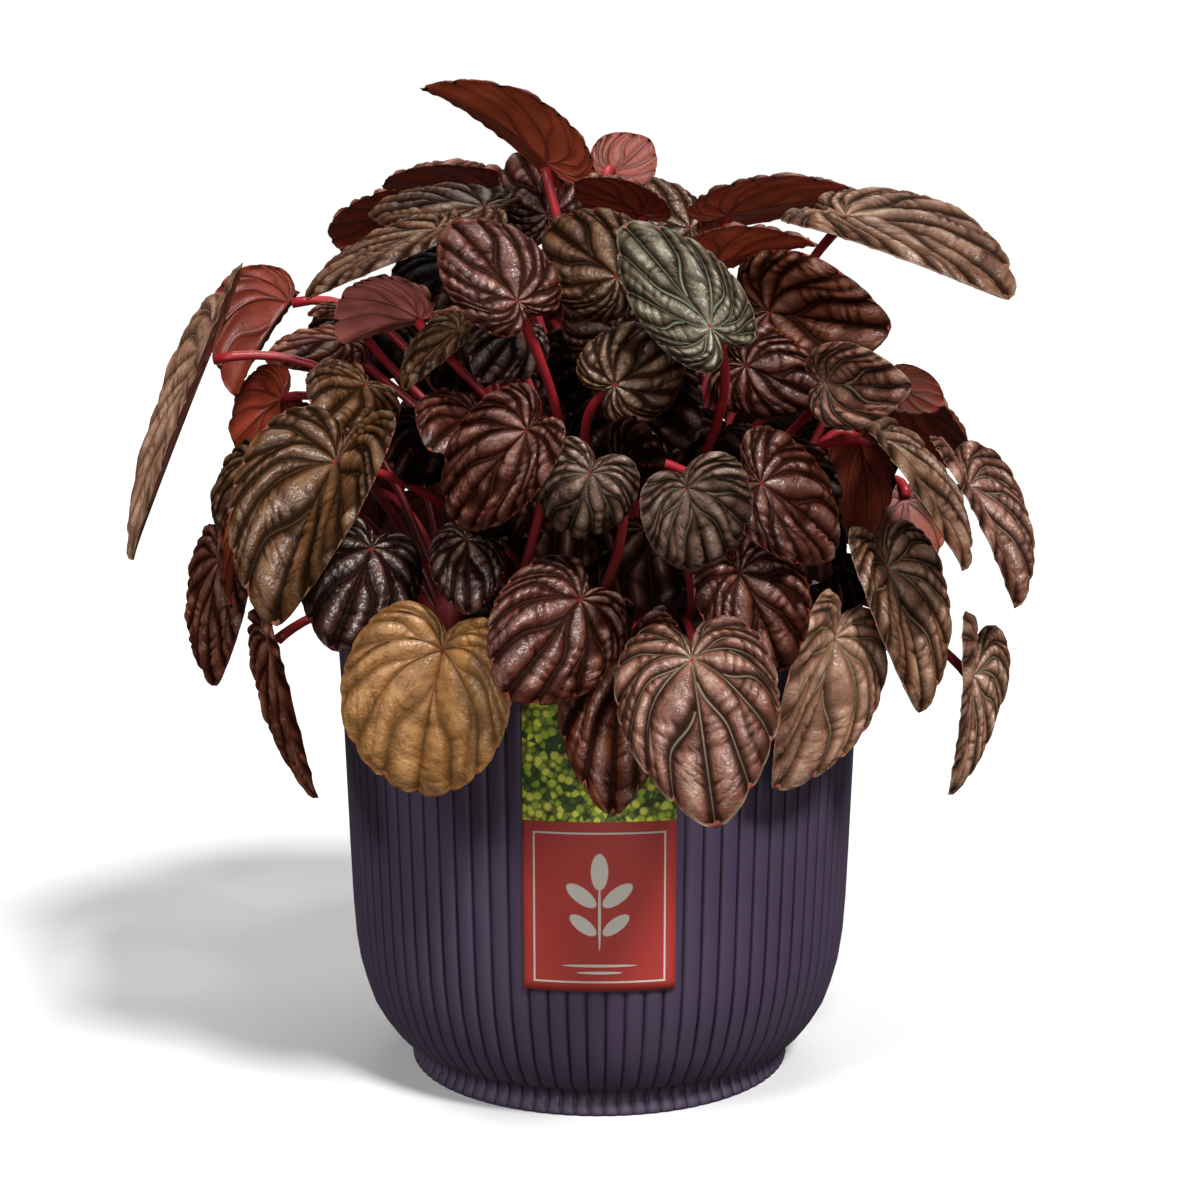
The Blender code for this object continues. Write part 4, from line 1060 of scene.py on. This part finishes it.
def make_fine_soil(box):
    """The soil's top, lumpy with crumbs, over a plain skirt down the inside of the pot."""
    draw = random.Random(SOIL_SEED)
    widest = box[1][0] - SOIL_GAP
    centres, sizes = [], []
    for _ in range(CLODS):
        turn, out = draw.uniform(0, 2 * math.pi), widest * math.sqrt(draw.random())
        sizes.append(draw.uniform(*CLOD_SIZES) * MM)
        centres.append((out * math.cos(turn), out * math.sin(turn)))
    centres, sizes = np.array(centres), np.array(sizes)
    rings = [ring(widest * SKIRT_FIT, SOIL_LEVEL - SKIRT_DEPTH, SOIL_SIDES)]
    for row in range(SOIL_ROWS):
        radius = widest * (1 - row / SOIL_ROWS)
        level = SOIL_LEVEL + SOIL_CROWN * math.sqrt(1 - (radius / widest) ** 2)
        one = ring(radius, level, SOIL_SIDES)
        gap = np.linalg.norm(one[:, None, :2] - centres[None], axis=2) / sizes
        clods = CLOD_HEIGHT * sizes * np.sqrt(np.clip(1 - gap**2, 0, None))
        one[:, 2] += clods.max(axis=1) - CLOD_SINK
        rings.append(one)
    return smooth_object("soil_top", *turned(rings))


def make_fine_label():
    """A card of one width round the flutes, with each point's place on it in millimetres."""
    heights = np.linspace(LABEL_BOTTOM, LABEL_TOP, LABEL_ROWS + 1)
    outline = np.array(POT_OUTSIDE) * MM
    crest = np.interp(heights, outline[:, 1], outline[:, 0])
    halves = LABEL_WIDTH / 2 / crest
    shares = np.linspace(-1, 1, LABEL_COLUMNS + 1)
    points, place = [], []
    for depth in (CLEARANCE, CLEARANCE + LABEL_THICKNESS):
        for height, radius, half in zip(heights, crest + depth, halves):
            for t in half * shares:
                points.append((radius * math.sin(t), -radius * math.cos(t), height))
                place.append((t * radius / MM, (height - LABEL_BOTTOM) / MM, 0))
    across, layer = LABEL_COLUMNS + 1, len(points) // 2
    grid = np.arange(layer).reshape(LABEL_ROWS + 1, across)
    faces = []
    for a in grid[:-1, :-1].ravel().tolist():
        faces.append([a, a + across, a + 1 + across, a + 1])
        faces.append([i + layer for i in (a, a + 1, a + 1 + across, a + across)])
    rim = np.concatenate([grid[0], grid[1:, -1], grid[-1, -2::-1], grid[-2:0:-1, 0]]).tolist()
    for a, b in zip(rim, rim[1:] + rim[:1]):
        faces.append([a, b, b + layer, a + layer])
    label = smooth_object("paper_label", np.array(points), faces)
    store(label, "place", "FLOAT_VECTOR", place)
    return label


class Nodes:
    """Short ways to build one material's nodes."""

    def __init__(self, name):
        self.material = bpy.data.materials.new(name)
        self.material.use_nodes = True
        self.tree = self.material.node_tree
        self.shader = self.tree.nodes["Principled BSDF"]

    def add(self, kind, **settings):
        node = self.tree.nodes.new(kind)
        for name, value in settings.items():
            setattr(node, name, value)
        return node

    def put(self, socket, value):
        if isinstance(value, bpy.types.NodeSocket):
            self.tree.links.new(value, socket)
        else:
            socket.default_value = value

    def fed(self, node, values):
        """A node's first output, once its inputs have the values given by place or name."""
        for key, value in values.items():
            self.put(node.inputs[key], value)
        return node.outputs[0]

    def attribute(self, name, output="Fac"):
        return self.add("ShaderNodeAttribute", attribute_name=name).outputs[output]

    def math(self, operation, *values):
        return self.fed(self.add("ShaderNodeMath", operation=operation), dict(enumerate(values)))

    def times(self, one, other):
        return self.math("MULTIPLY", one, other)

    def plus(self, one, other):
        return self.math("ADD", one, other)

    def ramp(self, value, low, high, to_low=0.0, to_high=1.0):
        """value from low to high, smoothly mapped to the range from to_low to to_high."""
        node = self.add("ShaderNodeMapRange", interpolation_type="SMOOTHSTEP")
        return self.fed(node, dict(enumerate((value, low, high, to_low, to_high))))

    def mix(self, factor, one, two):
        node = self.add("ShaderNodeMix", data_type="RGBA")
        self.fed(node, {"Factor": factor, 6: one, 7: two})
        return node.outputs[2]

    def scaled(self, colour, factor):
        node = self.add("ShaderNodeVectorMath", operation="SCALE")
        return self.fed(node, {0: colour, "Scale": factor})

    def own_place(self):
        return self.add("ShaderNodeTexCoord").outputs["Object"]

    def noise(self, scale, detail, roughness=0.5):
        """Noise of so many cells to a metre, between 0 and 1."""
        node = self.add("ShaderNodeTexNoise")
        place = self.own_place()
        self.fed(node, {"Vector": place, "Scale": scale, "Detail": detail, "Roughness": roughness})
        return node.outputs["Fac"]

    def bump(self, height, distance, strength):
        inputs = {"Height": height, "Distance": distance, "Strength": strength}
        self.set(Normal=self.fed(self.add("ShaderNodeBump"), inputs))

    def set(self, **values):
        self.fed(self.shader, {name.replace("_", " "): value for name, value in values.items()})


def vein_line(nodes, narrow, wide):
    """1 on the veins and 0 between them, from half widths in millimetres."""
    return nodes.ramp(nodes.attribute("gap"), narrow, wide, 1.0, 0.0)


def upper_material():
    """Glossy quilted top: painted shade in the grooves, a thin line along each vein, and crests
    that are partly the leaf's own silver and partly painted highlight.
    """
    nodes = Nodes("leaf_upper")
    flesh, crest, line = [nodes.attribute(name, "Color") for name in ("flesh", "crest", "line")]
    pillow, reach = nodes.attribute("pillow"), nodes.attribute("reach")
    patches, grain = nodes.noise(150, 3), nodes.noise(1000, 3)
    # Painted shade: the grooves between the pillows are darkened towards black, standing for the
    # shade in them
    painted_groove_shade = nodes.scaled(flesh, 0.12)
    flecked = nodes.scaled(flesh, nodes.ramp(patches, 0.3, 0.7, 0.8, 1.4))
    body = nodes.mix(nodes.ramp(pillow, 0.22, 1.0), painted_groove_shade, flecked)
    # Crests mixed towards the crest colour: partly the leaf's own silver, partly painted highlight
    silver_and_highlight = nodes.times(nodes.ramp(pillow, 0.7, 1.0), nodes.ramp(patches, 0.38, 0.72, 0.08, 0.5))
    silver_and_highlight = nodes.times(silver_and_highlight, nodes.ramp(grain, 0.3, 0.7, 0.4, 1.1))
    body = nodes.mix(silver_and_highlight, body, crest)
    vein = nodes.times(vein_line(nodes, 0.04, 0.22), nodes.ramp(reach, 0.3, 0.95, 0.75, 0.3))
    body = nodes.mix(vein, body, line)
    body = nodes.mix(nodes.ramp(reach, 0.975, 1.0, 0.0, 0.7), body, line)
    body = nodes.mix(nodes.ramp(reach, 0.012, 0.04, 0.9, 0.0), body, JOINT_RED)
    rough_grain = nodes.ramp(grain, 0.3, 0.7, 0.0, 0.07)
    gloss = nodes.plus(nodes.ramp(pillow, 0.3, 1.0, 0.4, 0.29), rough_grain)
    bright_crest = nodes.ramp(crest, 0.12, 0.28, 0.1, 1.0)
    sheen = nodes.times(nodes.ramp(pillow, 0.35, 0.95, 0.03, 0.5), bright_crest)
    nodes.set(Base_Color=body, Roughness=gloss, Specular_IOR_Level=sheen)
    fine = nodes.plus(nodes.noise(1300, 2), nodes.times(nodes.noise(340, 2), 2.6))
    nodes.bump(fine, 0.36 * MM, 0.6)
    return nodes.material


def under_material():
    """Smooth satin underside with thin darker veins."""
    nodes = Nodes("leaf_under")
    under, reach = nodes.attribute("under", "Color"), nodes.attribute("reach")
    patches = nodes.noise(110, 3)
    body = nodes.scaled(under, nodes.ramp(patches, 0.25, 0.75, 0.75, 1.2))
    vein = nodes.times(vein_line(nodes, 0.12, 0.5), nodes.ramp(reach, 0.1, 0.95, 0.85, 0.5))
    network = nodes.ramp(nodes.attribute("pillow"), 0.25, 0.65, 0.3, 0.0)
    body = nodes.mix(nodes.math("MAXIMUM", vein, network), body, nodes.scaled(under, 0.38))
    body = nodes.mix(nodes.ramp(reach, 0.0, 0.1, 0.8, 0.0), body, JOINT_PINK)
    nodes.set(Base_Color=body, Roughness=nodes.ramp(patches, 0.3, 0.7, 0.45, 0.58))
    nodes.bump(nodes.plus(nodes.noise(1100, 3), nodes.times(vein, 1.8)), 0.25 * MM, 0.5)
    return nodes.material


def stalk_material():
    """Juicy red stalk, paler and pinker towards the blade."""
    nodes = Nodes("stalk")
    red = nodes.mix(nodes.ramp(nodes.attribute("up_stalk"), 0.1, 0.9), STALK_FOOT, STALK_TOP)
    body = nodes.mix(nodes.ramp(nodes.noise(90, 3), 0.35, 0.75, 0.0, 0.25), red, STALK_BLUSH)
    nodes.set(Base_Color=body, Roughness=0.36)
    nodes.bump(nodes.noise(700, 3), 0.2 * MM, 0.4)
    return nodes.material


def pot_material():
    """Dark aubergine plastic, satin, with dusty patches, and painted shade in the grooves."""
    nodes = Nodes("pot_plastic")
    haze = nodes.noise(45, 4)
    # Painted shade: the grooves are darkened almost to black
    body = nodes.mix(nodes.ramp(nodes.attribute("rib"), 0.1, 0.75), POT_GROOVE_SHADE, POT_RIB)
    body = nodes.mix(nodes.ramp(haze, 0.35, 0.8, 0.0, 0.25), body, POT_DUST)
    nodes.set(Base_Color=body, Roughness=nodes.ramp(haze, 0.3, 0.7, 0.44, 0.56))
    nodes.bump(nodes.noise(2600, 2), 0.08 * MM, 0.5)
    return nodes.material


def soil_material():
    nodes = Nodes("soil")
    clods, fibres = nodes.noise(260, 6, 0.65), nodes.noise(900, 4)
    body = nodes.mix(nodes.ramp(clods, 0.3, 0.7), SOIL_DARK, SOIL_PALE)
    body = nodes.mix(nodes.ramp(fibres, 0.66, 0.72, 0.0, 0.6), body, SOIL_FIBRE)
    nodes.set(Base_Color=body, Roughness=0.95)
    nodes.bump(nodes.plus(clods, fibres), 1.2 * MM, 0.8)
    return nodes.material


def oval(nodes, across, up, middle, radii, turn):
    """1 inside an oval on the label and 0 outside, in millimetres and degrees."""
    c, d = math.cos(math.radians(turn)), math.sin(math.radians(turn))
    x, y = [nodes.math("SUBTRACT", at, own) for at, own in zip((across, up), middle)]
    total = 0.0
    for (one, two), radius in zip(((c, d), (-d, c)), radii):
        along = nodes.plus(nodes.times(x, one / radius), nodes.times(y, two / radius))
        total = nodes.plus(nodes.times(along, along), total)
    return nodes.ramp(total, 0.9, 1.1, 1.0, 0.0)


def rectangle(nodes, across, up, more):
    """1 inside the frame's field, made wider by more on each side, and 0 outside it."""
    bands = []
    for value, middle, half in zip((across, up), FRAME_MIDDLE, FRAME_HALVES):
        distance = nodes.math("ABSOLUTE", nodes.math("SUBTRACT", value, middle))
        bands.append(nodes.ramp(distance, half + more, half + more + SOFT_EDGE, 1.0, 0.0))
    return nodes.times(*bands)


def hedge(nodes):
    """Colour of small sunlit leaves with dark gaps between them."""
    cells = nodes.add("ShaderNodeTexVoronoi")
    nodes.fed(cells, {"Vector": nodes.own_place(), "Scale": 560})
    tone = nodes.fed(nodes.add("ShaderNodeSeparateColor"), {0: cells.outputs["Color"]})
    leaf = nodes.plus(nodes.times(tone, 0.6), nodes.times(nodes.noise(130, 3), 0.7))
    greens = nodes.mix(nodes.ramp(leaf, 0.4, 0.68), HEDGE_DARK, HEDGE)
    greens = nodes.mix(nodes.ramp(leaf, 0.66, 0.8), greens, HEDGE_SUN)
    return nodes.mix(nodes.ramp(cells.outputs["Distance"], 0.4, 0.75, 0.0, 0.8), greens, HEDGE_GAP)


def label_material():
    """A generic print: a sunny hedge above, and brick red with a frame and a sprig below."""
    nodes = Nodes("label_card")
    place = nodes.add("ShaderNodeSeparateXYZ")
    nodes.fed(place, {0: nodes.attribute("place", "Vector")})
    across, up = place.outputs[0], place.outputs[1]
    ridge = nodes.times(nodes.math("SINE", nodes.times(across, HILL_TURN)), HILL_HEIGHT)
    picture = nodes.mix(nodes.ramp(nodes.plus(up, ridge), *SKYLINE), hedge(nodes), SKY)
    outer, inner = [rectangle(nodes, across, up, more) for more in (FRAME_WIDTH, 0)]
    marks = nodes.math("SUBTRACT", outer, inner)
    for middle, radii, turn in SPRIG:
        marks = nodes.math("MAXIMUM", marks, oval(nodes, across, up, middle, radii, turn))
    field = nodes.mix(marks, nodes.mix(nodes.noise(60, 3), FIELD, FIELD_PALE), MARKS)
    nodes.set(Base_Color=nodes.mix(nodes.ramp(up, *FIELD_TOP), field, picture), Roughness=0.42)
    nodes.set(Coat_Weight=0.15, Coat_Roughness=0.15)
    nodes.bump(nodes.noise(1800, 2), 0.04 * MM, 0.4)
    return nodes.material


def floor_material():
    nodes = Nodes("floor")
    nodes.set(Base_Color=nodes.mix(nodes.noise(3, 2), FLOOR_DARK, FLOOR_PALE), Roughness=0.7)
    return nodes.material


def add_sun(name, azimuth, elevation, strength, spread):
    light = bpy.data.lights.new(name, "SUN")
    light.energy = strength
    light.angle = math.radians(spread)
    turn, rise = math.radians(azimuth), math.radians(elevation)
    level = math.cos(rise)
    toward = Vector((math.sin(turn) * level, -math.cos(turn) * level, math.sin(rise)))
    linked(name, light).rotation_euler = toward.to_track_quat("Z", "Y").to_euler()


def add_world():
    """A white backdrop that lights the part only a little, as in a studio with dark walls."""
    world = bpy.data.worlds.new("studio")
    world.use_nodes = True
    nodes, links = world.node_tree.nodes, world.node_tree.links
    background = nodes["Background"]
    background.inputs["Color"].default_value = (1, 1, 1, 1)
    path = nodes.new("ShaderNodeLightPath")
    strength = nodes.new("ShaderNodeMapRange")
    links.new(path.outputs["Is Camera Ray"], strength.inputs["Value"])
    strength.inputs["To Min"].default_value = WORLD_LIGHT
    strength.inputs["To Max"].default_value = 1.0
    links.new(strength.outputs[0], background.inputs["Strength"])
    bpy.context.scene.world = world


def add_floor():
    """A plain pale floor that neither mirrors in the leaves nor lights them."""
    half = FLOOR_HALF
    sides = [(-half, -half, 0), (half, -half, 0), (half, half, 0), (-half, half, 0)]
    floor = smooth_object("floor", np.array(sides, float), [[0, 1, 2, 3]])
    floor.data.materials.append(floor_material())
    floor.visible_glossy = False
    floor.visible_diffuse = False


def add_camera():
    """The photograph's eye, whose picture is a little off its middle."""
    camera = bpy.data.cameras.new("camera")
    camera.sensor_width = SENSOR
    camera.lens = FOCAL_PIXELS / PICTURE_SIDE * SENSOR
    camera.shift_x = (PICTURE_SIDE / 2 - PICTURE_MIDDLE[0]) / PICTURE_SIDE
    camera.clip_start = NEAREST_SEEN
    obj = linked("camera", camera)
    obj.location = EYE
    obj.rotation_euler = (math.pi / 2 - LOOK_DOWN, 0, 0)
    bpy.context.scene.camera = obj


def add_studio():
    """Soft light from the front, mostly from above and the right, over a plain pale floor."""
    for sun in SUNS:
        add_sun(*sun)
    add_world()
    add_floor()
    add_camera()
    bpy.context.scene.view_settings.view_transform = "Standard"


def dressed(obj, node, slot, *looks):
    for look in looks:
        obj.data.materials.append(look)
    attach(obj, "root")
    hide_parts(node)


def main():
    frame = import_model()
    still = [object_tree(frame["nodes"][name]) for name in ("pot", "potting_soil", "label")]
    plant = grown_plant(still)
    leaf_looks = [upper_material(), under_material(), stalk_material()]
    for number, place in enumerate(plant.places):
        members = [i for i, crown in plant.crowns.items() if crown == number]
        if members:
            crown = fine_crown(number + 1, place, members, plant, leaf_looks)
            dressed(crown, f"leafy_crown_{number + 1:02d}", "leaf")
    dressed(make_fine_pot(), "pot", "pot_plastic", pot_material())
    dressed(make_fine_soil(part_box("potting_soil")), "potting_soil", "soil", soil_material())
    dressed(make_fine_label(), "label", "label_card", label_material())
    add_studio()


main()
